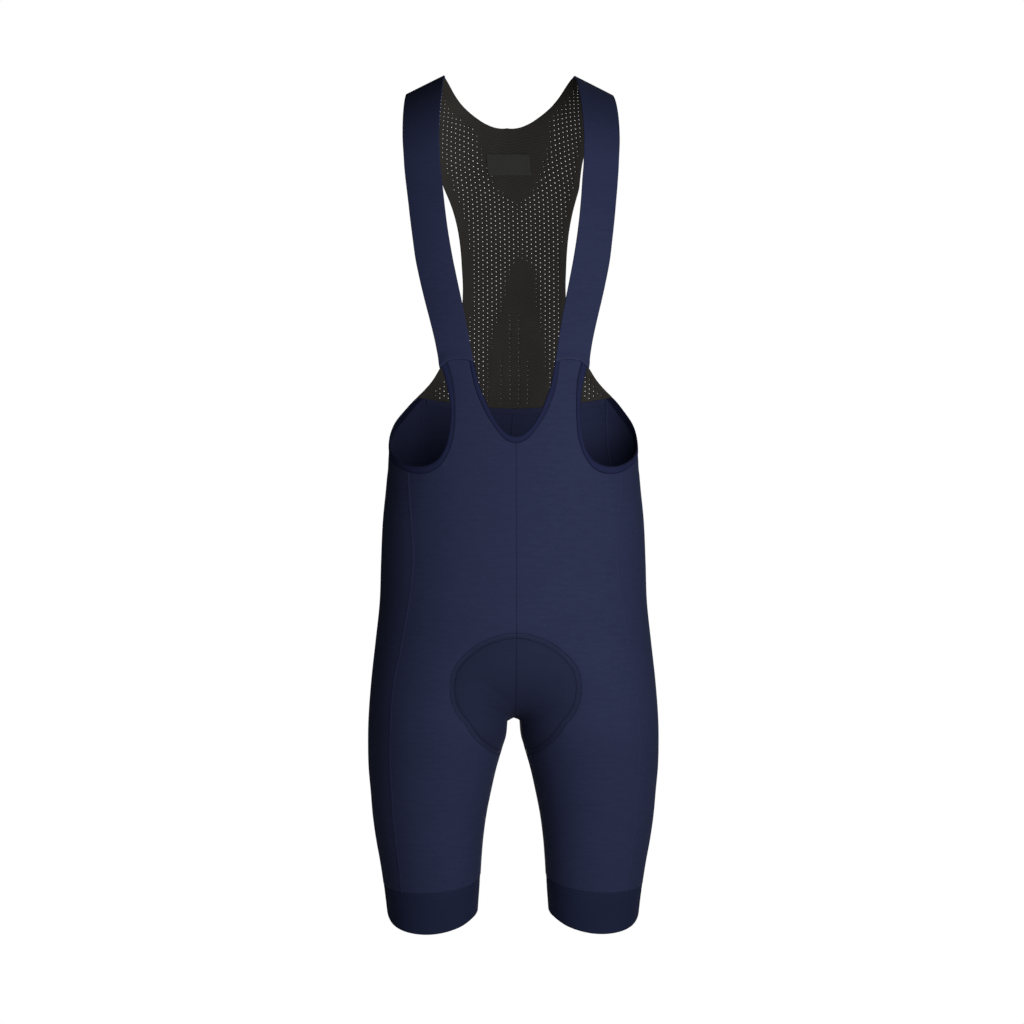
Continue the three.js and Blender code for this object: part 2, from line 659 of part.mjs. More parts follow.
// Bare label inside the back neck
function neckLabel() {
  const { share, top, foot, columns, steps, lift } = LABEL_PLACE;
  const shares = even(share, 1, columns);
  const grid = even(top, foot, steps).map((height) =>
    shares.map((place) => [place, levelAt(place, height)]),
  );
  return whole('neck_label', LABEL_GREY, grid, {
    lift: flat(-NET - SEAM - lift),
    depth: flat(NET + SEAM + lift + LABEL),
  });
}

const garment = new THREE.Group();
garment.name = 'bib_shorts';
garment.add(
  ...frontPanels(),
  ...sidePanels(),
  ...backPanels(),
  backYoke(),
  ...straps(),
  neckBinding(),
  ...armholeBindings(),
  waistTape(),
  ...legBands(),
  seatPad(),
  neckLabel(),
);

export default garment;
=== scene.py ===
"""Cycling bib shorts in knitted cloth, filled out as they are when worn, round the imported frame."""

import bpy
import numpy as np
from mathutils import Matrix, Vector


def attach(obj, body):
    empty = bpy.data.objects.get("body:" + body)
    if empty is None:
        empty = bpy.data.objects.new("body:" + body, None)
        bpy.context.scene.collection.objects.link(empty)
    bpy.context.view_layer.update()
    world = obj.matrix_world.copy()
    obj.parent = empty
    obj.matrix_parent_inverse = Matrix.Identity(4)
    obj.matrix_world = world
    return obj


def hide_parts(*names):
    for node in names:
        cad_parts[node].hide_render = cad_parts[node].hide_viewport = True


bl_info = {
    "name": "Bib shorts",
    "version": (1, 0, 0),
    "blender": (4, 5, 0),
    "location": "3D View > Sidebar > Bib shorts",
    "description": "Sews knitted bib shorts from panels, braces, bindings, an open-net yoke and a seat pad",
    "category": "Object",
}

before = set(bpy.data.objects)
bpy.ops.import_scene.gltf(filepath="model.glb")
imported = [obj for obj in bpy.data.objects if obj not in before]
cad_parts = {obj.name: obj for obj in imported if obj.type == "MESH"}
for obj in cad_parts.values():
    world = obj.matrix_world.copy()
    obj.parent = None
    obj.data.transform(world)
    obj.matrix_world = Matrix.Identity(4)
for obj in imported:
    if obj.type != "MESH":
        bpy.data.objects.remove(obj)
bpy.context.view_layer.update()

BODY = "root"

# The tables and the cloth are in millimetres, and a mesh is in metres
MM = 0.001

# Levels of the figure
CHEST_LEVEL = -100
CROTCH_LEVEL = -703
UNDER_RISE = 95
BLEND_START = -600
BLEND_LENGTH = 170
LOWEST_LEVEL = -960

# Shoulder ridge, which slopes down and out from a point 75 mm from the middle
RIDGE_LEVEL = 5
RIDGE_Y = 4
RIDGE_X = 75
RIDGE_Z = 12
RIDGE_SLOPE = 0.5
STRAP_BACK_LEVEL = 2

# Shape of the sections
TORSO_SQUARE = 0.065
LEG_SQUARE = 0.03
BLEND_FULL = 0.5
NOTCH_SHARE = 0.35
NOTCH_HALF_WIDTH = 7.3
NOTCH_DEPTH = 5
NOTCH_ROUNDING = 0.6
NOTCH_POWER = 4
CLEFT_WIDTH = 0.035
CLEFT_REACH = 0.08
NORMAL_SHARE = 0.001
NORMAL_STEP = 0.4

# Steps of the panels, each cut into FINE smaller ones
NECK_STEPS = 7
FRONT_ARM_STEPS = 10
SIDE_ARM_STEPS = 9
ABOVE_CROTCH_STEPS = 17
BELOW_CROTCH_STEPS = 13
BACK_ABOVE_STEPS = 15
BACK_BELOW_STEPS = 12
SIDE_ROWS = NECK_STEPS + ABOVE_CROTCH_STEPS + BELOW_CROTCH_STEPS - FRONT_ARM_STEPS
CROTCH_SPREAD = 1.7
FINE = 5
FRONT_COLUMNS = [0, 0.03, 0.07, 0.12, 0.18, 0.25, 0.34, 0.45, 0.58, 0.72, 0.86, 1]
BACK_COLUMNS = [0, 0.15, 0.29, 0.42, 0.54, 0.65, 0.75, 0.84, 0.91, 0.96, 1]
PAD_COLUMNS = [0, 0.05, 0.11, 0.19, 0.3, 0.45, 0.7, 1]


def table(columns, rows):
    """A table as one array for each named column."""
    return dict(zip(columns, np.array(rows, float).T))


# The half figure, level by level: half width, depths before and behind the middle, and the leg
FIGURE = table(
    ["level", "side", "front", "back", "inner", "legFront", "legBack", "legY"],
    [
        [100, 168, 108, 101, 0, 92, 94, 0],
        [-100, 168, 112, 104, 0, 92, 94, 0],
        [-160, 164, 113, 106, 0, 92, 94, 0],
        [-220, 157, 111, 103, 0, 92, 94, 0],
        [-300, 146, 105, 95, 0, 92, 94, 0],
        [-394, 139, 99, 91, 0, 92, 94, 0],
        [-440, 141.7, 100, 96, 0, 92, 94, 0],
        [-485, 146, 103, 104, 0, 92, 94, 0],
        [-530, 148, 106, 112, 0, 92, 94, 0],
        [-575, 149.5, 107, 117, 0, 92, 94, 0],
        [-618, 154, 106, 118, 0, 92, 94, -1],
        [-660, 158.6, 103, 113, 0, 91, 93, -3],
        [-703, 161.8, 98, 106, 0, 89, 90, -4],
        [-733, 162.4, 95, 100, 10, 86, 86, -3],
        [-760, 161.8, 92, 94, 18.5, 82, 81, -1],
        [-786, 159.6, 88, 88, 24.6, 77, 76, 1],
        [-813, 157.4, 84, 82, 30, 72, 71, 3],
        [-840, 153.8, 80, 76, 33.6, 67.5, 66.5, 5],
        [-867, 149, 76, 72, 35.8, 63.5, 62.5, 6.5],
        [-894, 145, 72, 68, 37.3, 60.5, 59.5, 8],
        [-921, 141.7, 70, 66, 39.2, 58, 57, 9],
        [-960, 138, 68, 64, 41, 56, 55, 10],
    ],
)

# Seams, each as shares of the way round from centre front (0) to centre back (1)
SIDE_SEAM = table(
    ["level", "share"],
    [
        [-431, 0.287], [-490, 0.2595], [-522, 0.2505], [-583, 0.2627], [-624, 0.2802],
        [-655, 0.312], [-690, 0.341], [-735, 0.3565], [-788, 0.3555], [-833, 0.3515], [-893, 0.352],
    ],
)
BACK_SEAM = table(
    ["level", "share"],
    [[-345, 0.751], [-433, 0.722], [-522, 0.706], [-600, 0.7], [-690, 0.69], [-780, 0.68], [-893, 0.675]],
)
WAIST_SEAM = table(
    ["share", "level"],
    [[0.731, -344], [0.76, -345.3], [0.828, -349], [0.936, -354.3], [1, -355.5], [1.064, -354.3]],
)
STRAP_SEAM = table(
    ["share", "level"],
    [[0.097, -309.3], [0.118, -306.8], [0.142, -307], [0.163, -309.6], [0.178, -315.5]],
)

# Bound openings: the free edge of the binding and its seam with the panel, step by step
NECK_EDGE = table(
    ["step", "freeShare", "freeLevel", "share", "level"],
    [
        [0, 0.0975, -309.2, 0.108, -307.7],
        [0.27, 0.0855, -338, 0.099, -336],
        [0.43, 0.0742, -352.5, 0.0895, -351.5],
        [0.62, 0.0588, -368.6, 0.0725, -369],
        [0.8, 0.0387, -382.9, 0.049, -385],
        [0.93, 0.016, -391.3, 0.0244, -396.8],
        [1, 0, -393, 0, -400.5],
        [1.07, -0.016, -391.3, -0.0244, -396.8],
    ],
)
ARM_EDGE = table(
    ["step", "freeShare", "freeLevel", "share", "level"],
    [
        [0, 0.1765, -315, 0.162, -309.4],
        [0.146, 0.1665, -335, 0.1505, -334],
        [0.255, 0.1612, -352, 0.149, -355],
        [0.37, 0.1604, -370, 0.1508, -376],
        [0.48, 0.1645, -387.5, 0.1562, -395],
        [0.595, 0.1745, -405, 0.1685, -411.5],
        [0.695, 0.1935, -417.6, 0.1865, -424.3],
        [0.78, 0.2185, -423.3, 0.2095, -430.9],
        [0.875, 0.25, -424.9, 0.2405, -433.3],
        [1, 0.288, -423, 0.287, -431],
        [1.11, 0.342, -417, 0.344, -424.3],
        [1.29, 0.43, -405, 0.43, -412.8],
        [1.476, 0.52, -391.5, 0.522, -399.3],
        [1.7, 0.616, -373, 0.621, -380.8],
        [1.835, 0.6715, -361, 0.681, -368],
        [2, 0.731, -344, 0.751, -344.9],
    ],
)

# Braces over the shoulders: inner and outer edge, by level at the front and past the ridge
STRAP_EDGE = table(
    ["level", "inner", "outer"],
    [
        [-319, 0.0955, 0.1785], [-289, 0.1035, 0.1861], [-267, 0.1098, 0.1937], [-245, 0.1165, 0.2017],
        [-224, 0.123, 0.2084], [-202, 0.1295, 0.2143], [-180, 0.1347, 0.2168], [-158, 0.1387, 0.2193],
        [-137, 0.1415, 0.2215], [-115, 0.144, 0.2244], [-95, 0.147, 0.227], [-78, 0.148, 0.23],
        [-58, 0.1455, 0.23], [-40, 0.142, 0.228], [-20, 0.1385, 0.225], [5, 0.136, 0.2222],
        [18, 0.136, 0.2222],
    ],
)

# Back yoke: its scooped neckline and the sides that run down to the waist
YOKE_NECK = table(
    ["step", "share", "level"],
    [
        [0, 0.864, 2], [0.08, 0.8695, -10], [0.17, 0.8765, -21], [0.3, 0.887, -33], [0.43, 0.9005, -43],
        [0.55, 0.9165, -50.8], [0.68, 0.937, -58], [0.76, 0.952, -62], [0.885, 0.976, -66.2],
        [1, 1, -67.8], [1.115, 1.024, -66.2],
    ],
)
YOKE_SIDE = table(
    ["level", "share"],
    [
        [2, 0.7778], [-30, 0.794], [-55, 0.816], [-80, 0.837], [-102, 0.853], [-125, 0.867],
        [-148, 0.8757], [-171, 0.8797], [-195, 0.8805], [-217, 0.88], [-240, 0.875], [-265, 0.862],
        [-290, 0.837], [-310.7, 0.8075], [-324.3, 0.785], [-336, 0.7565], [-344, 0.731],
    ],
)

# Leg band: its seam with the panels and its hem, all round the leg from the inseam
LEG_BAND = table(
    ["share", "top", "hem"],
    [
        [0, -881, -921.7], [0.078, -885.5, -926], [0.153, -890.5, -934], [0.222, -893.6, -939],
        [0.278, -894.6, -940.4], [0.339, -894.4, -939], [0.397, -893.3, -935], [0.442, -892.4, -930],
        [0.5, -891, -920.5], [0.6, -889.5, -912], [0.75, -887.5, -908], [0.88, -884, -913],
        [1, -881, -921.7],
    ],
)

# Seat pad: the level where each row leaves the middle line, and its end on the stitched
# outline, with shares behind the inseam counted below 0
SEAT_PAD = table(
    ["row", "middle", "share", "level"],
    [
        [0, -605.4, 0.03, -607], [1, -617, 0.075, -615], [2, -630, 0.117, -629], [3, -645, 0.151, -646],
        [4, -660, 0.171, -667], [5, -673, 0.178, -686], [6, -685, 0.1705, -704], [7, -694, 0.147, -723],
        [8, -700, 0.09, -739.5], [9, -703, 0, -745], [10, -700, -0.1, -738], [11, -694, -0.15, -724],
        [12, -684, -0.18, -702], [13, -670, -0.185, -680], [14, -655, -0.17, -655], [15, -640, -0.13, -635],
        [16, -625, -0.06, -622],
    ],
)
PAD_CROTCH_ROW = 9

# Bare label inside the back neck, with the heights of its top and foot
LABEL_SHARE = 0.9525
LABEL_TOP = -59.8
LABEL_FOOT = -84.2
LABEL_LIFT = 0.6
LABEL = 0.6


def length(name, description, millimetres):
    """A length property, kept in metres."""
    return bpy.props.FloatProperty(
        name=name, description=description, default=millimetres * MM, unit="LENGTH")


class ClothSizes(bpy.types.PropertyGroup):
    """Sizes of the cloth and the sewing"""

    knit: length("Knit", "Thickness of the panels", 0.9)
    strap: length("Braces", "Thickness of the braces", 1.3)
    net: length("Net", "Thickness of the yoke", 0.6)
    band: length("Leg bands", "Thickness of the gripper bands", 1.3)
    hem: length("Yoke hem", "Width of the turned edge of the yoke", 8.5)
    hole_across: length("Holes across", "From one column of holes to the next", 5.15)
    hole_down: length("Holes down", "From hole to hole in a column", 5.4)
    hole_radius: length("Hole radius", "Radius of an open hole", 0.5)
    seam_width: length("Flat seams", "Width of a flat seam's threads", 3.6)
    thread: length("Thread", "Radius of the sewing thread", 0.2)
    stitch: length("Stitch", "Length of a stitch in a row", 2.5)
    pad_rows: length("Pad rows", "From one row of pad stitches to the other", 5.5)


def colour(name, description, value):
    """A colour property, with its linear values."""
    return bpy.props.FloatVectorProperty(
        name=name, description=description, default=value, subtype="COLOR", size=3, min=0, max=1)


class ClothColours(bpy.types.PropertyGroup):
    """Colours of the cloth"""

    knit: colour("Knit", "Panels and braces", (0.0262, 0.0322, 0.08))
    trim: colour("Bindings", "Folded bindings", (0.017, 0.021, 0.064))
    band: colour("Leg bands", "Gripper bands", (0.0158, 0.0208, 0.055))
    net: colour("Net", "Yoke", (0.05, 0.047, 0.0415))
    thread: colour("Thread", "Sewing thread", (0.032, 0.038, 0.096))
    tape: colour("Tape", "Elastic tape at the back waist", (0.03, 0.036, 0.085))
    pad: colour("Pad", "Seat pad", (0.018, 0.022, 0.045))
    label: colour("Label", "Bare neck label", (0.062, 0.061, 0.059))


def sizes():
    return bpy.context.scene.bib_sizes


def colours():
    return bpy.context.scene.bib_colours


def smooth(values):
    """Rises from 0 to 1 with no slope at either end."""
    share = np.clip(values, 0, 1)
    return share * share * (3 - 2 * share)


def mix(a, b, share):
    return a + (b - a) * share


def unit(vectors):
    return vectors / np.linalg.norm(vectors, axis=-1, keepdims=True)


def read(rows, key, values):
    """Every column of a table at many values of its key. Between two rows a column is a cubic
    curve, whose slope at each row is the mean of the slopes on both sides of it."""
    keys = rows[key]
    way = np.sign(keys[-1] - keys[0])
    at = np.clip(np.searchsorted(way * keys, way * np.asarray(values, float), "left") - 1, 0, len(keys) - 2)
    span = keys[at + 1] - keys[at]
    s = np.clip((values - keys[at]) / span, 0, 1)
    result = {}
    for name, column in rows.items():
        slopes = np.diff(column) / np.diff(keys)
        slopes = np.concatenate([slopes[:1], (slopes[:-1] + slopes[1:]) / 2, slopes[-1:]])
        result[name] = (
            (2 * s**3 - 3 * s**2 + 1) * column[at]
            + (s**3 - 2 * s**2 + s) * slopes[at] * span
            + (3 * s**2 - 2 * s**3) * column[at + 1]
            + (s**3 - s**2) * slopes[at + 1] * span
        )
    return result


def half_figure(share, level):
    """Points of the half figure with x above 0. The torso section is a squared ellipse, and the
    leg section another one round the leg's own middle. One turns into the other below the hips:
    at once along the middle, as a quarter ellipse, and slowly at the sides. Above the chest the
    points run on a quarter ellipse from the chest to the sloping shoulder ridge."""
    z = np.minimum(level, CHEST_LEVEL)
    row = read(FIGURE, "level", z)
    sine = np.sin(np.pi * share)
    cosine = np.cos(np.pi * share)
    quick = 1 - np.sin(np.arccos(1 - np.clip((z - CROTCH_LEVEL) / UNDER_RISE, 0, 1)))
    slow = smooth((BLEND_START - z) / BLEND_LENGTH)
    leg = mix(slow, quick, np.exp(-((sine / NOTCH_SHARE) ** 2)))
    to_middle = np.minimum(share, 1 - share)
    cleft = CLEFT_WIDTH * 4 * quick * (1 - quick)
    eased = np.sqrt(to_middle**2 + cleft**2 * np.exp(-((to_middle / CLEFT_REACH) ** 2)))
    leg_turn = np.sin(2 * np.pi * eased) * np.where(share > 0.5, -1, 1)
    torso_full = 1 + 4 * TORSO_SQUARE * (sine * cosine) ** 2
    leg_full = 1 + 4 * LEG_SQUARE * (2 * sine * cosine * (1 - 2 * sine * sine)) ** 2
    depth = np.where(cosine > 0, row["front"], row["back"])
    leg_depth = np.where(cosine > 0, row["legFront"], row["legBack"])
    inner = np.maximum(row["inner"], 0)
    leg_middle = (row["side"] + inner) / 2
    leg_x = leg_middle + (mix(inner, row["side"], sine * sine) - leg_middle) * leg_full
    leg_y = row["legY"] - leg_depth * leg_turn * leg_full
    x = mix(row["side"] * sine * torso_full, leg_x, leg)
    y = mix(-depth * cosine * torso_full, leg_y, leg) * (1 + BLEND_FULL * slow * (1 - slow))
    below = np.clip((CROTCH_LEVEL - z) / NOTCH_DEPTH, 0, 1)
    notch = NOTCH_HALF_WIDTH * np.sqrt(1 - (1 - below) ** NOTCH_POWER)
    x = np.where(below > 0, (x + notch + np.hypot(x - notch, NOTCH_ROUNDING * notch)) / 2, x)
    turn = np.clip((level - CHEST_LEVEL) / (RIDGE_LEVEL - CHEST_LEVEL), 0, 1) * np.pi / 2
    ridge = RIDGE_Z - RIDGE_SLOPE * (x - RIDGE_X)
    y = RIDGE_Y + (y - RIDGE_Y) * np.cos(turn)
    z = np.where(turn > 0, mix(CHEST_LEVEL, ridge, np.sin(turn)), z)
    return np.stack([x, y, z], -1)


def figure(share, level):
    """The figure for shares a little past its middle lines too, and for levels past the ridge,
    which run down the back."""
    share, level = np.broadcast_arrays(np.asarray(share, float), np.asarray(level, float))
    past = level > RIDGE_LEVEL
    share = np.where(past, 1 - share, share)
    level = np.where(past, 2 * RIDGE_LEVEL - level, level)
    outside = (share < 0) | (share > 1)
    on_leg = level < CROTCH_LEVEL
    other_side = np.where(share < 0, -share, 2 - share)
    wrapped = np.where(on_leg, share - np.floor(share), other_side)
    points = half_figure(np.where(outside, wrapped, share), level)
    points[..., 0] *= np.where(outside & ~on_leg, -1, 1)
    return points


# How far the garment hangs aside as it is worn, by height, for its front and its back
LEAN = table(
    ["height", "front", "back"],
    [
        [-400, 0, 0], [-370, 0, 1.5], [-345, -0.6, 3.5], [-300, -1.8, 3.7], [-200, -3, 3.6],
        [-132, -3.7, 2.5], [-104, -4.2, 0.9], [-71, -4.4, -2.9], [-30, -4.5, -4.8], [40, -4.6, -4.8],
    ],
)
LEAN_DEPTH = 60


def worn(points):
    """Points moved aside as the garment hangs: at each height the front goes one way and the
    back its own way, and one turns into the other across LEAN_DEPTH."""
    row = read(LEAN, "height", points[..., 2])
    aside = mix(row["front"], row["back"], smooth(points[..., 1] / LEAN_DEPTH + 0.5))
    return points + aside[..., None] * [1, 0, 0]


def level_at(share, height):
    """The level above the chest where the figure reaches a height."""
    ridge = RIDGE_Z - RIDGE_SLOPE * (figure(share, CHEST_LEVEL)[..., 0] - RIDGE_X)
    turn = np.arcsin((height - CHEST_LEVEL) / (ridge - CHEST_LEVEL))
    return CHEST_LEVEL + (RIDGE_LEVEL - CHEST_LEVEL) * turn / (np.pi / 2)


def outward(share, level):
    """Unit normals of the figure, from short steps round it and up it."""
    around = figure(share + NORMAL_SHARE, level) - figure(share - NORMAL_SHARE, level)
    up = figure(share, level + NORMAL_STEP) - figure(share, level - NORMAL_STEP)
    return unit(np.cross(around, up))


def on_figure(places):
    """Points and unit normals of the figure at many places."""
    share, level = places[..., 0], places[..., 1]
    return figure(share, level), outward(share, level)


def run_length(points, axis):
    """Distance covered along one axis of a grid of points, from its start."""
    steps = np.linalg.norm(np.diff(points, axis=axis), axis=-1)
    start = np.zeros_like(np.take(steps, [0], axis))
    return np.concatenate([start, np.cumsum(steps, axis)], axis)


# The cloth laid out: distance round from centre front at each level, and down from the ridge
LAID_SHARES = np.linspace(0, 1, 241)
LAID_LEVELS = np.linspace(LOWEST_LEVEL, RIDGE_LEVEL, 387)
DOWN_SHARE = 0.14
LAID_ROUND = run_length(figure(LAID_SHARES[None, :], LAID_LEVELS[:, None]), 1)
LAID_DOWN_FRONT = run_length(figure(DOWN_SHARE, LAID_LEVELS), 0)
LAID_DOWN_BACK = run_length(figure(1 - DOWN_SHARE, LAID_LEVELS), 0)


def laid(share, level):
    """Where places on the figure lie on flat cloth, as (round, down) in millimetres. The grids
    of distances are read between their nodes in both directions."""
    share, level = np.broadcast_arrays(np.asarray(share, float), np.asarray(level, float))
    past = level > RIDGE_LEVEL
    near = np.where(past, 2 * RIDGE_LEVEL - level, level)
    down = np.interp(near, LAID_LEVELS, LAID_DOWN_FRONT)
    top = LAID_DOWN_FRONT[-1]
    beyond = top + LAID_DOWN_BACK[-1] - np.interp(near, LAID_LEVELS, LAID_DOWN_BACK)
    down = np.where(past, beyond, down)
    row = np.clip((near - LOWEST_LEVEL) / (RIDGE_LEVEL - LOWEST_LEVEL), 0, 1) * (len(LAID_LEVELS) - 1)
    column = np.clip(np.abs(share), 0, 1) * (len(LAID_SHARES) - 1)
    i = np.minimum(row.astype(int), len(LAID_LEVELS) - 2)
    j = np.minimum(column.astype(int), len(LAID_SHARES) - 2)
    across = mix(
        mix(LAID_ROUND[i, j], LAID_ROUND[i, j + 1], column - j),
        mix(LAID_ROUND[i + 1, j], LAID_ROUND[i + 1, j + 1], column - j),
        row - i,
    )
    return np.stack([across * np.where(share < 0, -1, 1), down - top], -1)


def closing(start, share):
    """Levels that close in on the crotch from start."""
    return CROTCH_LEVEL + (start - CROTCH_LEVEL) * (1 - share) ** CROTCH_SPREAD


def opening(end, share):
    """Levels that open out below the crotch to end."""
    return CROTCH_LEVEL + (end - CROTCH_LEVEL) * share**CROTCH_SPREAD


# Places close to an edge, as parts of the last step of a panel, where its seam turns in
EDGE_PARTS = np.array([0.02, 0.045, 0.08, 0.13])


def ticks(steps, fine=FINE):
    """Places from 0 to 1 in even steps, each cut into finer ones, and closer at both ends."""
    even = np.linspace(0, 1, steps * fine + 1)
    close = EDGE_PARTS / steps
    return np.unique(np.concatenate([even, close, 1 - close]))


def finer(columns, fine=FINE):
    """A list of places across a panel with finer steps, and closer at both ends."""
    steps = len(columns) - 1
    return np.interp(ticks(steps, fine) * steps, np.arange(steps + 1), columns)


def patch(down, across, left, right, top, bottom):
    """Fills a four-sided patch of (share, level) places from its edges: the sum of what its two
    pairs of edges give, less what its corners give. Top and bottom run from left to right."""
    t = down[:, None, None]
    s = across[None, :, None]
    corners = mix(mix(left[0], right[0], s), mix(left[-1], right[-1], s), t)
    return mix(left[:, None], right[:, None], s) + mix(top[None], bottom[None], t) - corners


def place(share, level):
    return np.stack(np.broadcast_arrays(np.asarray(share, float), np.asarray(level, float)), -1)


def band_top(share):
    return place(share, read(LEG_BAND, "share", np.asarray(share, float))["top"])


def waist(share, gap=0.0):
    return place(share, read(WAIST_SEAM, "share", np.asarray(share, float))["level"] + gap)


def strap_seam(share):
    return place(share, read(STRAP_SEAM, "share", np.asarray(share, float))["level"])


def on_binding(edge, step, across):
    """Places across a binding, from its free edge (0) to its seam with the panel (1)."""
    row = read(edge, "step", step)
    return place(mix(row["freeShare"], row["share"], across), mix(row["freeLevel"], row["level"], across))


def seam_places(seam, level):
    return place(read(seam, "level", level)["share"], level)


def middle_places(share, foot_level, start_level, rows, above, below):
    """The middle line down to the crotch and then the inseam, for rows counted from its start."""
    levels = np.where(
        rows <= above,
        closing(start_level, np.clip(rows / above, 0, 1)),
        opening(foot_level, np.clip((rows - above) / below, 0, 1)),
    )
    return place(share, levels)


INSEAM_FOOT = band_top(0)[1]
SIDE_FOOT = band_top(SIDE_SEAM["share"][-1])[1]
BACK_FOOT = band_top(BACK_SEAM["share"][-1])[1]


def front_grid():
    """Front half of the bib and the front of the leg."""
    total = NECK_STEPS + ABOVE_CROTCH_STEPS + BELOW_CROTCH_STEPS
    down = ticks(total)
    across = finer(FRONT_COLUMNS)
    rows = down * total
    neck = on_binding(NECK_EDGE, np.clip(rows / NECK_STEPS, 0, 1), 1)
    middle = middle_places(
        0, INSEAM_FOOT, NECK_EDGE["level"][-2], rows - NECK_STEPS, ABOVE_CROTCH_STEPS, BELOW_CROTCH_STEPS)
    left = np.where(rows[:, None] <= NECK_STEPS, neck, middle)
    arm = on_binding(ARM_EDGE, np.clip(rows / FRONT_ARM_STEPS, 0, 1), 1)
    side_levels = mix(SIDE_SEAM["level"][0], SIDE_FOOT, np.clip((rows - FRONT_ARM_STEPS) / SIDE_ROWS, 0, 1))
    right = np.where(rows[:, None] <= FRONT_ARM_STEPS, arm, seam_places(SIDE_SEAM, side_levels))
    left[0] = strap_seam(left[0, 0])
    right[0] = strap_seam(right[0, 0])
    top = strap_seam(mix(left[0, 0], right[0, 0], across))
    foot = band_top(mix(left[-1, 0], right[-1, 0], across))
    return patch(down, across, left, right, top, foot)


def side_grid():
    """Side piece from the underarm to the leg band."""
    down = ticks(SIDE_ROWS)
    across = ticks(SIDE_ARM_STEPS)
    top = on_binding(ARM_EDGE, 1 + across, 1)
    left = seam_places(SIDE_SEAM, mix(SIDE_SEAM["level"][0], SIDE_FOOT, down))
    right = seam_places(BACK_SEAM, mix(BACK_SEAM["level"][0], BACK_FOOT, down))
    left[0] = top[0]
    right[0] = top[-1]
    foot = band_top(mix(left[-1, 0], right[-1, 0], across))
    return patch(down, across, left, right, top, foot)


def back_grid():
    """Seat and back of the leg."""
    total = BACK_ABOVE_STEPS + BACK_BELOW_STEPS
    down = ticks(total)
    across = finer(BACK_COLUMNS)
    top = waist(mix(BACK_SEAM["share"][0], 1, across))
    left = seam_places(BACK_SEAM, mix(BACK_SEAM["level"][0], BACK_FOOT, down))
    left[0] = top[0]
    right = middle_places(1, INSEAM_FOOT, top[-1, 1], down * total, BACK_ABOVE_STEPS, BACK_BELOW_STEPS)
    foot = band_top(mix(left[-1, 0], right[-1, 0], across))
    return patch(down, across, left, right, top, foot)


STRAP_END = 2 * RIDGE_LEVEL - STRAP_BACK_LEVEL
STRAP_ROWS = 18
STRAP_COLUMNS = 7
STRAP_FINE = (7, 6)

# The hem of a brace lies over the top of the bib: how far down, how proud, and its slope's length
STRAP_LAP = 3.6
STRAP_PROUD = 1.7
STRAP_SLOPE = 9.0


def strap_grid():
    """Brace from the top of the bib over the shoulder to the yoke."""
    down = ticks(STRAP_ROWS, STRAP_FINE[0])
    across = ticks(STRAP_COLUMNS, STRAP_FINE[1])
    edges = []
    for column in ("inner", "outer"):
        start = strap_seam(STRAP_EDGE[column][0]) - [0, STRAP_LAP]
        levels = mix(start[1], STRAP_END, down)
        edge = place(read(STRAP_EDGE, "level", levels)[column], levels)
        edge[0] = start
        edges.append(edge)
    left, right = edges
    seam = strap_seam(mix(left[0, 0], right[0, 0], across)) - [0, STRAP_LAP]
    over = place(mix(left[-1, 0], right[-1, 0], across), STRAP_END)
    return patch(down, across, left, right, seam, over)


def grid_faces(rows, columns, ring=False):
    """Corners of the quads of a grid, row by row. A ring's last column joins its first."""
    i, j = np.meshgrid(np.arange(rows - 1), np.arange(columns - (0 if ring else 1)), indexing="ij")
    here, after = i * columns + j, i * columns + (j + 1) % columns
    return np.stack([here, after, after + columns, here + columns], -1)


def shell(outer, inner, uv, ring=False):
    """Points, quads and flat places of a closed wall between two grids of points. Its outer and
    inner sides are the grids' own quads, and a rim of quads joins their borders. A ring is
    joined end to end, and its flat places have one more column than its points."""
    rows, columns = outer.shape[:2]
    count = rows * columns
    quads = grid_faces(rows, columns, ring)
    flat_quads = grid_faces(rows, uv.shape[1])
    edge = [np.arange(columns), (rows - 1) * columns + np.arange(columns)[::-1]]
    if ring:
        tops, feet = (np.append(line, line[0]) for line in edge)
        borders = [tops, feet]
    else:
        sides = [np.arange(rows)[::-1] * columns, np.arange(rows) * columns + columns - 1]
        borders = [*edge, *sides]
    rims = []
    for line in borders:
        start, end = line[:-1], line[1:]
        rims.append(np.stack([end, start, start + count, end + count], -1))
    rims = np.concatenate(rims)
    points = np.concatenate([outer.reshape(-1, 3), inner.reshape(-1, 3)])
    faces = np.concatenate([quads.reshape(-1, 4), quads.reshape(-1, 4)[:, ::-1] + count, rims])
    flat = uv.reshape(-1, 2)
    outer_flat = flat[flat_quads.reshape(-1, 4)]
    flat_of_point = uv[:, :columns].reshape(-1, 2)
    rim_flat = flat_of_point[rims % count]
    return points, faces, np.concatenate([outer_flat, outer_flat[:, ::-1], rim_flat])


def mirrored(points, faces, flat):
    """The same piece on the other side of the body."""
    return points * [-1, 1, 1], faces[:, ::-1], flat[:, ::-1]


def joined(parts):
    """Several parts, each points, quads and flat places, as one."""
    starts = np.cumsum([0] + [len(part[0]) for part in parts[:-1]])
    return (
        np.concatenate([part[0] for part in parts]),
        np.concatenate([part[1] + start for part, start in zip(parts, starts)]),
        np.concatenate([part[2] for part in parts]),
    )


def outward_facing(points, faces, flat):
    """The same closed piece with every face turned round where it holds a volume below zero,
    which is the sum over its triangles of the products of their three corners."""
    a, b, c, d = (points[faces[:, k]] for k in range(4))
    volume = (a * (np.cross(b, c) + np.cross(c, d))).sum()
    return (points, faces, flat) if volume > 0 else (points, faces[:, ::-1], flat[:, ::-1])


def both_sides(name, parts):
    """The name and the parts of a piece on each side of the body."""
    yield f"{name}_left", parts
    yield f"{name}_right", mirrored(*parts)


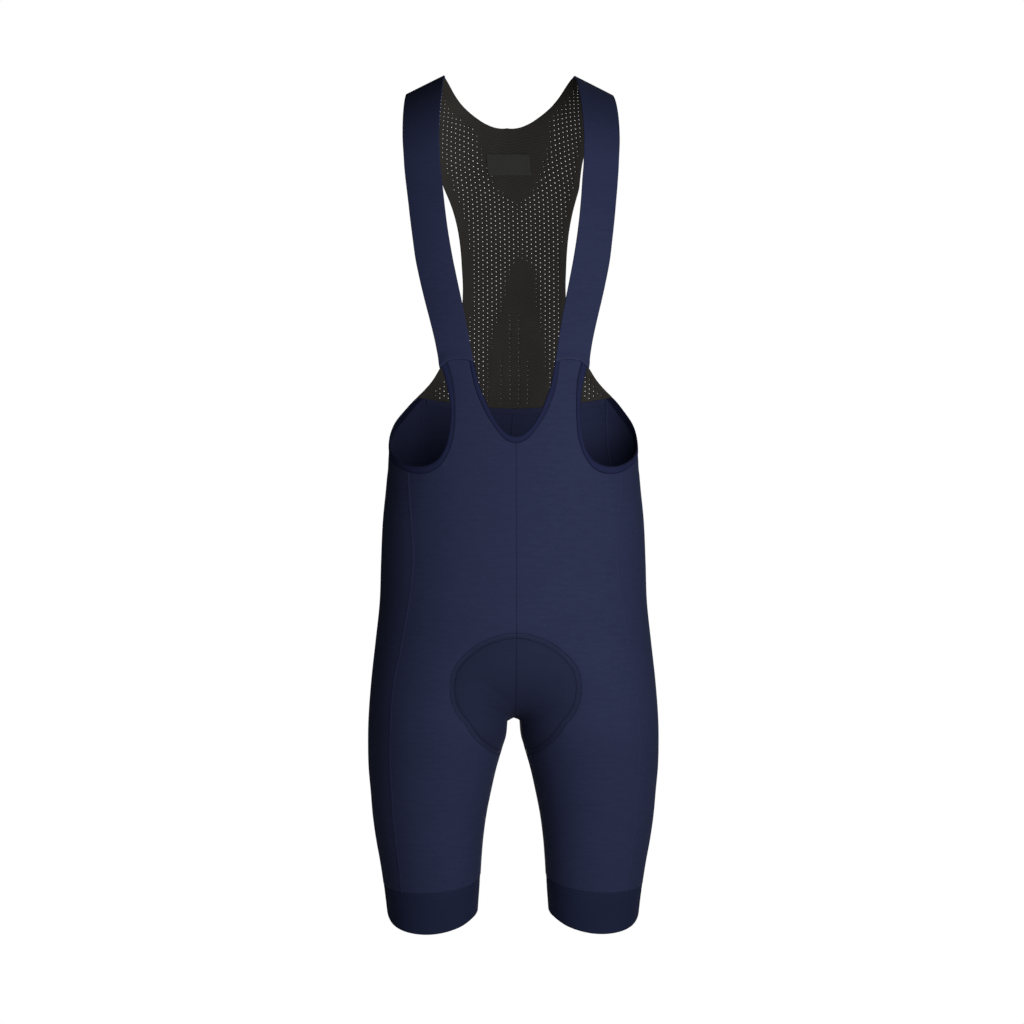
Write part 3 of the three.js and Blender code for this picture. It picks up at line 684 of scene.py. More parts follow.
def make_piece(name, parts, kind, node=None, attributes=None):
    """A mesh object from points in millimetres, faces of four corners and a place on flat cloth
    for each corner. It rides on the body and stands for its node, if it has one. Its slot holds
    the material of its kind of cloth."""
    points, faces, flat = outward_facing(*parts)
    mesh = bpy.data.meshes.new(name)
    mesh.vertices.add(len(points))
    mesh.vertices.foreach_set("co", (worn(points) * MM).astype(np.float32).ravel())
    mesh.loops.add(faces.size)
    mesh.loops.foreach_set("vertex_index", faces.astype(np.int32).ravel())
    mesh.polygons.add(len(faces))
    mesh.polygons.foreach_set("loop_start", np.arange(0, faces.size, 4, dtype=np.int32))
    mesh.polygons.foreach_set("use_smooth", np.ones(len(faces), bool))
    cloth = mesh.uv_layers.new(name="cloth")
    cloth.data.foreach_set("uv", (flat * MM).astype(np.float32).ravel())
    for key, values in (attributes or {}).items():
        attribute = mesh.attributes.new(key, "FLOAT", "POINT")
        attribute.data.foreach_set("value", values.astype(np.float32).ravel())
    mesh.update(calc_edges=True)
    if mesh.validate():
        raise RuntimeError(f"{name} has faces that Blender had to mend")
    mesh.materials.append(material(kind))
    piece = bpy.data.objects.new(name, mesh)
    bpy.context.scene.collection.objects.link(piece)
    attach(piece, BODY)
    if node:
        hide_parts(node)
    return piece


def make_sheet(node, parts, kind, attributes=None):
    """A sheet of cloth in place of its node, with what it was cut to before it was sewn."""
    piece = make_piece(f"{node}_cloth", parts, kind, node=node, attributes=attributes)


def make_sheets(name, parts, kind, attributes=None):
    for node, each in both_sides(name, parts):
        make_sheet(node, each, kind, attributes)


LEAST_STRETCH = 1e-12


def nearest(points, line):
    """The nearest point of a line to each flat point, and how far it is: the best of what each
    stretch of the line gives."""
    least = np.full(points.shape[:-1], np.inf)
    found = points.copy()
    for a, b in zip(line[:-1], np.diff(line, axis=0)):
        along = np.clip(((points - a) @ b) / max(b @ b, LEAST_STRETCH), 0, 1)
        spot = a + along[..., None] * b
        away = np.linalg.norm(points - spot, axis=-1)
        found = np.where((away < least)[..., None], spot, found)
        least = np.minimum(least, away)
    return found, least


def to_line(points, line):
    return nearest(points, line)[1]


def inside(points, outline):
    """Whether flat points lie inside a closed outline, by counting the stretches to one side."""
    crossings = np.zeros(points.shape[:-1], int)
    for a, b in zip(outline, np.roll(outline, -1, 0)):
        spans = (a[1] > points[..., 1]) != (b[1] > points[..., 1])
        rise = b[1] - a[1] if b[1] != a[1] else 1.0
        crossings += spans & (points[..., 0] < a[0] + (points[..., 1] - a[1]) * (b[0] - a[0]) / rise)
    return crossings % 2 == 1


def pad_rows(behind, front_count, back_count):
    """Rows of the pad's half that lies before or behind the crotch."""
    if behind:
        return np.linspace(PAD_CROTCH_ROW, SEAT_PAD["row"][-1], back_count)
    return np.linspace(0, PAD_CROTCH_ROW, front_count)


def pad_outline(behind):
    """The stitched outline of the pad on one half of the front or the back, from and to the
    middle line, with shares counted from that line."""
    row = read(SEAT_PAD, "row", pad_rows(behind, 70, 60))
    outline = place(np.abs(row["share"]), row["level"])
    end = place(0.0, SEAT_PAD["middle"][-1 if behind else 0])[None]
    return np.concatenate([outline, end] if behind else [end, outline])


# The pad under a panel: the groove of its stitch rows, and how far the cloth inside stands proud
PAD_PRESS = 0.7
PAD_PRESS_WIDTH = 3.4
PAD_SWELL = 0.9
PAD_SWELL_WIDTH = 16


def pad_relief(grid, behind):
    """Height and colour masks of the pad under a panel. A soft groove with two rows of stitches
    follows its outline, and the cloth inside stands a little proud. The colour masks darken the
    cloth inside, partly as the less stretched knit's tone and partly as painted shade, and darken
    the groove as painted shade."""
    share = 1 - grid[..., 0] if behind else grid[..., 0]
    line = pad_outline(behind)
    closed = np.concatenate([line, line[::-1] * [-1, 1]])
    edge = figure(1 - line[:, 0] if behind else line[:, 0], line[:, 1])
    within = inside(place(share, grid[..., 1]), closed)
    distance = to_line(figure(grid[..., 0], grid[..., 1]), edge) * np.where(within, 1, -1)
    apart = sizes().pad_rows / MM
    proud = smooth((distance - apart) / PAD_SWELL_WIDTH)
    channel = np.exp(-(((distance - apart / 2) / PAD_PRESS_WIDTH) ** 2))
    # The last two values are colour masks: painted shade inside the outline, partly the knit's darker tone,
    # and painted shade in the groove
    return PAD_SWELL * proud - PAD_PRESS * channel, smooth(distance / apart), channel


# A sewn edge and a free edge: how far each turns in, and over what width; and the middle seam's painted
# shade: how strong, and over what width
SEWN = (0.55, 1.3)
FREE = (0.3, 0.5)
MIDDLE_SEAM_SHADE = (1.0, 1.5)
ALL_SEWN = {"left": SEWN, "right": SEWN, "top": SEWN, "foot": SEWN}


def edge_turn(points, edges):
    """How far the cloth sinks towards its edges, which are named left, right, top and foot."""
    across = run_length(points, 1)
    down = run_length(points, 0)
    distances = {"left": across, "right": across[:, -1:] - across, "top": down, "foot": down[-1:] - down}
    sunk = np.zeros(points.shape[:2])
    for name, (turn, width) in edges.items():
        sunk = np.maximum(sunk, turn * (1 - smooth(distances[name] / width)))
    return sunk


# Soft creases: where each one lies, its turn from level, its length and width, and its depth
CREASES = table(
    ["share", "level", "turn", "length", "width", "depth"],
    [
        [0.05, -672, 38, 26, 5, 0.5],
        [0.075, -690, 30, 22, 4, 0.45],
        [0.94, -668, -35, 30, 6, 0.7],
        [0.915, -700, -30, 26, 5, 0.6],
        [0.88, -745, -22, 32, 6, 0.5],
        [0.66, -372, 12, 24, 5, 0.4],
        [0.9, -372, 4, 30, 4, 0.4],
        [0.84, -390, 8, 34, 6, 0.45],
        [0.5, -428, -10, 30, 6, 0.4],
        [0.97, -450, -14, 30, 8, 0.5],
    ],
)


def crease_relief(grid):
    """Depth of the soft creases: each is a trough that fades along its length and across it."""
    flat = laid(grid[..., 0], grid[..., 1])
    sunk = np.zeros(grid.shape[:2])
    for share, level, turn, length, width, depth in zip(*CREASES.values()):
        away = flat - laid(share, level)
        angle = np.radians(turn)
        along = away @ [np.cos(angle), np.sin(angle)]
        off = away @ [-np.sin(angle), np.cos(angle)]
        sunk += depth * np.exp(-((along / length) ** 2) - (off / width) ** 2)
    return sunk


def cloth_wall(grid, thickness, edges, height=0.0, ring=False, uv=None):
    """A wall on the figure: each point of the outer side lies its height off the figure, less
    what its turned edges take, and the inner side lies its thickness further in."""
    points, normals = on_figure(grid)
    outer = points + normals * (height - edge_turn(points, edges))[..., None]
    inner = outer - normals * thickness
    return shell(outer, inner, laid(grid[..., 0], grid[..., 1]) if uv is None else uv, ring)


def doubled(values):
    """A value of each point of a grid, for the outer and the inner side of its wall."""
    return np.concatenate([values.ravel(), values.ravel()])


def maths(operation, turned=False):
    """A method of Field that adds a Math node for the field and other values."""

    def add_node(field, *others):
        values = (*others, field) if turned else (field, *others)
        return field.shader.node("ShaderNodeMath", {"operation": operation}, dict(enumerate(values)))

    return add_node


class Field:
    """A number that changes over a surface. Sums and products of it add Math nodes."""

    def __init__(self, shader, socket):
        self.shader = shader
        self.socket = socket

    __add__ = __radd__ = maths("ADD")
    __mul__ = __rmul__ = maths("MULTIPLY")
    __sub__ = maths("SUBTRACT")
    __rsub__ = maths("SUBTRACT", turned=True)
    __pow__ = maths("POWER")
    least = maths("MINIMUM")
    most = maths("MAXIMUM")
    sine = maths("SINE")
    size = maths("ABSOLUTE")


SHEEN_ROUGHNESS = 0.45


class Shader:
    """The node tree of one material, with its principled surface."""

    def __init__(self, name, roughness, sheen, sheen_tint, specular):
        self.material = bpy.data.materials.new(name)
        self.material.use_nodes = True
        self.tree = self.material.node_tree
        self.surface = self.tree.nodes["Principled BSDF"].inputs
        self.surface["Roughness"].default_value = roughness
        self.surface["Sheen Weight"].default_value = sheen
        self.surface["Sheen Roughness"].default_value = SHEEN_ROUGHNESS
        self.surface["Sheen Tint"].default_value = (*sheen_tint, 1)
        self.surface["Specular IOR Level"].default_value = specular

    def node(self, kind, settings, inputs, output=0):
        """Adds a node, with its settings first and then a value or a link for each input, named
        by its place or its identifier. Gives one of its outputs."""
        node = self.tree.nodes.new(kind)
        for key, value in settings.items():
            setattr(node, key, value)
        for key, value in inputs.items():
            socket = node.inputs[key] if isinstance(key, int) else self.find(node.inputs, key)
            self.feed(socket, value)
        found = node.outputs[output] if isinstance(output, int) else self.find(node.outputs, output)
        return Field(self, found)

    def find(self, sockets, key):
        return next(s for s in sockets if s.identifier == key)

    def feed(self, socket, value):
        if isinstance(value, Field):
            self.tree.links.new(value.socket, socket)
        else:
            socket.default_value = value

    def cloth(self):
        """Place on the flat cloth, in metres, as a vector."""
        return self.node("ShaderNodeUVMap", {"uv_map": "cloth"}, {})

    def attribute(self, name):
        return self.node("ShaderNodeAttribute", {"attribute_name": name}, {}, "Fac")

    def apart(self, vector):
        """The first two numbers of a vector."""
        return [self.node("ShaderNodeSeparateXYZ", {}, {0: vector}, k) for k in (0, 1)]

    def noise(self, vector, cells, detail=2.0, roughness=0.5):
        """Noise with so many cells a metre along each axis of the vector."""
        stretched = self.node("ShaderNodeMapping", {}, {"Vector": vector, "Scale": cells})
        values = {"Vector": stretched, "Scale": 1.0, "Detail": detail, "Roughness": roughness}
        return self.node("ShaderNodeTexNoise", {}, values)

    def blend(self, factor, a, b):
        values = {"Factor_Float": factor, "A_Color": a, "B_Color": b}
        return self.node("ShaderNodeMix", {"data_type": "RGBA"}, values, "Result_Color")

    def toned(self, tone, rgb, dark, light):
        """A colour from its dark to its light shade, as the tone goes from 0 to 1."""
        return self.blend(tone.most(0.0).least(1.0), shade(rgb, dark), shade(rgb, light))

    def bump(self, height, depth, below=None):
        values = {"Height": height, "Distance": depth, "Strength": 1.0}
        if below is not None:
            values["Normal"] = below
        return self.node("ShaderNodeBump", {}, values)

    def finish(self, base, roughness, normal):
        for socket, value in (("Base Color", base), ("Roughness", roughness), ("Normal", normal)):
            self.feed(self.surface[socket], value)
        return self.material


def shade(rgb, factor):
    """A colour made lighter or darker, as Blender's four numbers."""
    return (*(min(1.0, value * factor) for value in rgb), 1)


def wave(field, pitch):
    """A soft ridge from 0 to 1 every pitch metres."""
    return (field * (2 * np.pi / pitch)).sine() * 0.5 + 0.5


def level_wave(field, pitch):
    """A wave from -1 to 1 that is 1 where the field is 0 and every pitch metres on."""
    return (field * (2 * np.pi / pitch) + np.pi / 2).sine()


def knit_cloth(name, rgb, streak, course, wale, sheen):
    """Fine knit: heathered yarn in short level streaks, slow changes of tone, and small stitches
    whose courses and wales are bump. Cloth over the pad is darker, partly as the less stretched
    knit's own tone and partly as painted shade, and the pad's stitch groove and the middle seam
    are darkened as painted shade."""
    shader = Shader(name, roughness=0.78, sheen=sheen, sheen_tint=(0.42, 0.47, 0.75), specular=0.08)
    cloth = shader.cloth()
    across, down = shader.apart(cloth)
    yarn = shader.noise(cloth, (240, 1000, 1), detail=3.0, roughness=0.65)
    slub = shader.noise(cloth, (60, 260, 1), detail=3.0, roughness=0.6)
    slow = shader.noise(cloth, (9, 16, 1))
    tone = 0.5 + (yarn - 0.5) * streak + (slub - 0.5) * (streak * 0.8) + (slow - 0.5) * 0.4
    base = shader.toned(tone, rgb, dark=0.78, light=1.24)
    # Painted shade: the knit is darkened in the pad's stitch groove and along the middle seam, and over the
    # pad partly by the less stretched knit's darker tone and partly as painted shade
    pad_dense_and_shade = shader.attribute("over_pad_dense_and_shade") * 0.42 + shader.attribute("pad_channel_shade") * 0.2
    base = shader.blend(pad_dense_and_shade.least(0.9), base, shade(rgb, 0.4))
    stitches = wave(across, wale) * 0.5 + wave(down, course)
    fine = shader.bump(stitches * 0.5 + yarn * 0.9, depth=0.00006)
    return shader.finish(base, 0.72 + yarn * 0.16, shader.bump(slub, depth=0.00012, below=fine))


# A folded binding, down its flat cloth: the middle of its outer side, the width of the painted shade at
# its rims, and how many widths from the middle that shade starts
FOLDED_MIDDLE = 0.0043
RIM_SHADE_WIDTH = 0.0013
RIM_SHADE_START = 1.9


def rib_cloth(name, rgb, pitch, depth, sheen, along=False, folded=False):
    """Dense cloth with fine ribs: ridges every pitch, along or across the piece, with the colour
    lighter on each rib and darker between ribs as painted shade. A folded binding is darkened at
    its rims as painted shade, where it turns under."""
    shader = Shader(name, roughness=0.8, sheen=sheen, sheen_tint=(0.35, 0.4, 0.75), specular=0.08)
    cloth = shader.cloth()
    across, down = shader.apart(cloth)
    ribs = wave(across if along else down, pitch)
    yarn = shader.noise(cloth, (500, 1200, 1), detail=2.0, roughness=0.6)
    slow = shader.noise(cloth, (20, 30, 1))
    # Painted shade: the colour is lighter on each rib and darker between ribs, on the same wave as the bump
    tone = 0.35 + ribs * 0.22 + (yarn - 0.5) * 0.7 + (slow - 0.5) * 0.45
    base = shader.toned(tone, rgb, dark=0.76, light=1.3)
    if folded:
        # Painted shade: the binding's colour darkens towards both rims, where it turns under
        rim = (down - FOLDED_MIDDLE).size() * (1 / RIM_SHADE_WIDTH) - RIM_SHADE_START
        rim = rim.most(0.0).least(1.0)
        base = shader.blend(rim * 0.75, base, shade(rgb, 0.4))
    return shader.finish(base, 0.74 + yarn * 0.14, shader.bump(ribs + yarn * 0.5, depth))


def net_cloth(name, rgb, across_pitch, down_pitch):
    """Open warp knit: the cloth dips into each hole, and where the holes stay shut a faint dimple
    marks their place; both are darkened in colour as painted shade. Fine rows of yarn sag towards
    the middle of the back."""
    shader = Shader(name, roughness=0.8, sheen=0.03, sheen_tint=(0.6, 0.58, 0.55), specular=0.1)
    cloth = shader.cloth()
    across, down = shader.apart(cloth)
    lattice = level_wave(across, 2 * across_pitch) * level_wave(down, down_pitch)
    slant = wave(down - across.size() * 0.32, down_pitch / 2)
    yarn = shader.noise(cloth, (900, 1400, 1), detail=3.0, roughness=0.6)
    slow = shader.noise(cloth, (30, 26, 1))
    # Painted shade: the net's colour darkens at each hole and at the dimple of each shut hole, with the
    # same mask as their dips
    hole_dips_and_shade = (lattice.most(0.0) ** 5) * (shader.attribute("open_net") * 0.75 + 0.15)
    tone = 0.45 + (slant - 0.5) * 0.3 + (yarn - 0.5) * 0.6 + (slow - 0.5) * 0.4
    base = shader.blend(hole_dips_and_shade.least(1.0), shader.toned(tone, rgb, dark=0.62, light=1.35), shade(rgb, 0.2))
    return shader.finish(base, 0.78, shader.bump(slant * 0.4 + yarn * 0.4 - hole_dips_and_shade, depth=0.0002))


def thread_cloth(name, rgb):
    """Twisted thread with a slight shine: fine lines of tone and bump in the piece's own space."""
    shader = Shader(name, roughness=0.65, sheen=0.04, sheen_tint=(0.4, 0.45, 0.85), specular=0.12)
    space = shader.node("ShaderNodeTexCoord", {}, {}, "Object")
    twist = shader.noise(space, (1900, 1900, 2600))
    base = shader.blend(twist, shade(rgb, 0.7), shade(rgb, 1.3))
    return shader.finish(base, 0.5 + twist * 0.2, shader.bump(twist, depth=0.00004))


def pad_cloth(name, rgb, dot_pitch):
    """Brushed cloth over foam: a soft nap of short fibres, and rows of small vent dots, which dip and are
    darkened as painted shade.
    """
    shader = Shader(name, roughness=0.9, sheen=0.12, sheen_tint=(0.45, 0.5, 0.7), specular=0.08)
    cloth = shader.cloth()
    across, down = shader.apart(cloth)
    nap = shader.noise(cloth, (1600, 1600, 1), detail=4.0, roughness=0.7)
    slow = shader.noise(cloth, (25, 25, 1))
    # Painted shade: the vent dots are darkened in colour where they dip
    dots = ((wave(across, dot_pitch) * wave(down, dot_pitch)) ** 8).least(1.0)
    tone = 0.5 + (nap - 0.5) * 0.8 + (slow - 0.5) * 0.5
    base = shader.blend(dots, shader.toned(tone, rgb, dark=0.7, light=1.35), shade(rgb, 0.4))
    return shader.finish(base, 0.88, shader.bump(nap * 0.4 - dots, depth=0.0002))


def material(kind):
    """The material of one kind of cloth, made once."""
    name = f"{kind}_look"
    found = bpy.data.materials.get(name)
    if found:
        return found
    c = colours()
    s = sizes()
    if kind == "navy_knit":
        return knit_cloth(name, c.knit, streak=0.8, course=0.0008, wale=0.0009, sheen=0.05)
    if kind == "black_net":
        return net_cloth(name, c.net, s.hole_across, s.hole_down)
    if kind == "pad_cloth":
        return pad_cloth(name, c.pad, dot_pitch=0.006)
    ribbed = {
        "navy_trim": dict(rgb=c.trim, pitch=0.0011, depth=0.00006, sheen=0.04, along=True, folded=True),
        "navy_band": dict(rgb=c.band, pitch=0.0012, depth=0.00008, sheen=0.04, along=True),
        "waist_tape": dict(rgb=c.tape, pitch=0.0015, depth=0.00015, sheen=0.04),
        "label_cloth": dict(rgb=c.label, pitch=0.0006, depth=0.00004, sheen=0.03),
    }
    if kind in ribbed:
        return rib_cloth(name, **ribbed[kind])
    threads_of = {"navy_thread": c.thread, "trim_thread": c.trim, "dark_thread": shade(c.trim, 0.6)[:3]}
    return thread_cloth(name, threads_of[kind])


class BIBSHORTS_OT_panels(bpy.types.Operator):
    """Front, side and back panels of the bib and legs"""

    bl_idname = "bib_shorts.panels"
    bl_label = "Panels"

    def execute(self, context):
        knit = sizes().knit / MM
        for name, grid, behind in (
            ("front_panel", front_grid(), False),
            ("side_panel", side_grid(), None),
            ("back_panel", back_grid(), True),
        ):
            if behind is None:
                height = over = channel = np.zeros(grid.shape[:2])
            else:
                height, over, channel = pad_relief(grid, behind)
                # Painted shade along the middle seam: only the knit's colour is darkened there, and the
                # cloth itself is sunk by its sewn edge
                middle = {"right" if behind else "left": MIDDLE_SEAM_SHADE}
                channel = np.maximum(channel, edge_turn(on_figure(grid)[0], middle))
            parts = cloth_wall(grid, knit, ALL_SEWN, height - crease_relief(grid))
            # Colour masks of the knit: painted shade in the pad's groove and along the middle seam, and
            # over the pad partly the knit's darker tone and partly painted shade
            attributes = {"over_pad_dense_and_shade": doubled(over), "pad_channel_shade": doubled(channel)}
            make_sheets(name, parts, "navy_knit", attributes=attributes)
        return {"FINISHED"}


class BIBSHORTS_OT_straps(bpy.types.Operator):
    """Braces over both shoulders"""

    bl_idname = "bib_shorts.straps"
    bl_label = "Braces"

    def execute(self, context):
        grid = strap_grid()
        away = run_length(on_figure(grid)[0], 0) - STRAP_LAP
        proud = STRAP_PROUD * (1 - smooth(away / STRAP_SLOPE))
        parts = cloth_wall(grid, sizes().strap / MM, ALL_SEWN | {"left": FREE, "right": FREE}, proud)
        zeros = np.zeros(len(parts[0]))
        make_sheets("strap", parts, "navy_knit", attributes={"over_pad_dense_and_shade": zeros, "pad_channel_shade": zeros})
        return {"FINISHED"}


# Section of a binding, folded round the edge: from its seam on the outside to the free edge
# and back to its seam on the inside. Across is counted from the free edge, as a part of the
# width, and the height from the figure in millimetres
BINDING_SECTION = table(
    ["way", "across", "height"],
    [
        [0, 1, -0.6], [0.02, 0.985, -0.3], [0.05, 0.94, 0.05], [0.08, 0.87, 0.3], [0.11, 0.79, 0.24],
        [0.15, 0.71, 0.38], [0.25, 0.5, 0.52], [0.35, 0.29, 0.38], [0.39, 0.21, 0.24],
        [0.42, 0.13, 0.28], [0.45, 0.06, 0.05], [0.475, 0.015, -0.3], [0.5, 0, -0.65],
        [0.525, 0.015, -1], [0.55, 0.06, -1.3], [0.6, 0.15, -1.5], [0.9, 0.85, -1.5], [0.95, 0.94, -1.55],
        [1, 1, -1.65],
    ],
)
BINDING_WAYS = np.unique(np.concatenate([np.linspace(0, 0.62, 43), np.linspace(0.62, 1, 9)]))
BINDING_WIDTH = 8.0
BINDING_CLOTH = 0.4


def binding_section():
    """Both sides of the folded cloth, as across and height: the inside is moved in from the
    outside along the section's own normals."""
    row = read(BINDING_SECTION, "way", BINDING_WAYS)
    outer = np.stack([row["across"] * BINDING_WIDTH, row["height"]], -1)
    along = unit(np.gradient(outer, axis=0))
    inner = outer + np.stack([-along[:, 1], along[:, 0]], -1) * BINDING_CLOTH
    return outer, inner


def binding(edge, steps, start_on, end_on=None):
    """A binding carried along a bound edge. Its ends are cut along the seams that they meet."""
    walls = []
    for section in binding_section():
        grid = on_binding(edge, steps[:, None], section[None, :, 0] / BINDING_WIDTH)
        grid[0] = start_on(grid[0, :, 0])
        if end_on is not None:
            grid[-1] = end_on(grid[-1, :, 0])
        points, normals = on_figure(grid)
        walls.append(points + normals * section[None, :, 1:])
    outer, inner = walls
    along = run_length(outer, 0)[:, len(BINDING_WAYS) // 4]
    around = run_length(binding_section()[0], 0)
    return outer, inner, place(along[:, None], around[None, :])


def across_middle(outer, inner, uv):
    """Both halves of a piece that lies across the middle, from the half whose last row lies on it."""
    flip = np.array([-1, 1, 1])
    length = 2 * uv[-1:, :, :1] * [1, 0]
    other = length - uv[-2::-1] * [1, -1]
    return (
        np.concatenate([outer, outer[-2::-1] * flip]),
        np.concatenate([inner, inner[-2::-1] * flip]),
        np.concatenate([uv, other]),
    )


class BIBSHORTS_OT_bindings(bpy.types.Operator):
    """Folded bindings of the neck and both armholes"""

    bl_idname = "bib_shorts.bindings"
    bl_label = "Bindings"

    def execute(self, context):
        neck = shell(*across_middle(*binding(NECK_EDGE, np.linspace(0, 1, 91), strap_seam)))
        make_sheet("neck_binding", neck, "navy_trim")
        arm = shell(*binding(ARM_EDGE, np.linspace(0, 2, 221), strap_seam, waist))
        make_sheets("armhole_binding", arm, "navy_trim")
        return {"FINISHED"}


BAND_COLUMNS = 200
BAND_ROWS = 30

# The band lies a little in from the panels, with a stitched groove below its top, and its hem
BAND_INSET = 0.2
BAND_FOLD = 5.2
BAND_GROOVE = 0.3
BAND_GROOVE_WIDTH = 0.9
BAND_HEM = (0.5, 1.0)


class BIBSHORTS_OT_bands(bpy.types.Operator):
    """Gripper bands round both hems"""

    bl_idname = "bib_shorts.bands"
    bl_label = "Leg bands"

    def execute(self, context):
        down = ticks(BAND_ROWS, 1)
        share = np.linspace(0, 1, BAND_COLUMNS + 1)
        row = read(LEG_BAND, "share", share)
        grid = place(share[None], mix(row["top"][None], row["hem"][None], down[:, None]))
        depth = run_length(on_figure(grid)[0], 0)
        groove = BAND_GROOVE * np.exp(-(((depth - BAND_FOLD) / BAND_GROOVE_WIDTH) ** 2))
        height = -groove[:, :-1] - BAND_INSET
        uv = place(laid(share, row["top"])[None, :, 0], depth)
        edges = {"top": SEWN, "foot": BAND_HEM}
        parts = cloth_wall(grid[:, :-1], sizes().band / MM, edges, height, True, uv)
        make_sheets("leg_band", parts, "navy_band")
        return {"FINISHED"}


# Where the yoke's holes stay shut: its plain middle, by level, with its half width and how far
# it lies to one side
YOKE_SOLID = table(
    ["level", "half", "aside"],
    [
        [-30, 40, 8.5], [-60, 41, 8.5], [-71, 40, 8], [-82, 35, 7], [-92, 27, 6], [-102, 18, 5.5],
        [-110, 8, 5.5], [-116, 0, 5.5], [-178, 0, 8.5], [-186, 7, 9], [-194, 12, 9], [-206, 15, 8.5],
        [-220, 17, 7.5], [-240, 20, 6], [-265, 26, 4], [-290, 30, 4], [-316, 33, 3.2], [-356, 34, 3],
    ],
)
NET_CELLS = 4

# Over what width the holes grow from the plain middle, and from what part of their size
HOLE_FADE = 9.0
LEAST_HOLE = 0.42

# Faint columns of small holes in the plain middle, and how high they reach
FAINT_COLUMNS = {1: -245, 3: -300}
FAINT_HOLE = 0.4

# The knitted pattern lies off the middle, so one plain side is wider; and its plain foot
SIDE_SKEW = 2.2
WAIST_HEM = 3.0

# The turned hem: its thickness and the width of its step, and over what width the holes grow
# from it and from what part of their size
NET_FOLD = 0.45
NET_FOLD_WIDTH = 1.2
EDGE_FADE = 9.0
EDGE_HOLE = 0.55

# How much a hole's size varies, and how far the net is rounded at a hole and at its edge
UNEVEN = 0.07
NET_ROUND = 0.2
NET_ROUND_WIDTH = 0.6
SEARCH_STEPS = 24


def yoke_outline():
    """The yoke's edge laid flat, on the side of the body where shares are below 1: down the
    neckline to the middle, down the middle, along the waist and up the side to the shoulder."""
    neck = read(YOKE_NECK, "step", np.linspace(0, 1, 60))
    waist_line = waist(np.linspace(1, WAIST_SEAM["share"][0], 80))
    side = seam_places(YOKE_SIDE, np.linspace(YOKE_SIDE["level"][-1], STRAP_BACK_LEVEL, 120))
    shoulder = place(np.linspace(YOKE_SIDE["share"][0], YOKE_NECK["share"][0], 12), STRAP_BACK_LEVEL)
    return place(neck["share"], neck["level"]), waist_line, side, shoulder


def yoke_flat(places):
    """Yoke places laid flat: the distance from centre back, and the way up from the waist."""
    share, level = places[..., 0], places[..., 1]
    sideways = laid(1.0, level)[..., 0] - laid(share, level)[..., 0]
    return np.stack([sideways, np.interp(level, LAID_LEVELS, LAID_DOWN_BACK)], -1)


def yoke_places(flat):
    """Places on the figure of flat points of the yoke: the level by its way up, and then the
    share by its distance from centre back at that level, found by halving."""
    level = np.interp(flat[..., 1], LAID_DOWN_BACK, LAID_LEVELS)
    low = np.full(level.shape, 0.6)
    high = np.full(level.shape, 1.0)
    target = np.abs(flat[..., 0])
    for _ in range(SEARCH_STEPS):
        middle = (low + high) / 2
        far = yoke_flat(place(middle, level))[..., 0] > target
        low = np.where(far, middle, low)
        high = np.where(far, high, middle)
    return place((low + high) / 2, level)


def on_one_side(flat):
    """Flat points of the yoke, with those on its other half folded over the middle."""
    return place(np.abs(flat[..., 0]), flat[..., 1])


def corners(grid):
    """The values at the four corners of each cell of a grid."""
    return grid[:-1, :-1], grid[1:, 1:], grid[:-1, 1:], grid[1:, :-1]


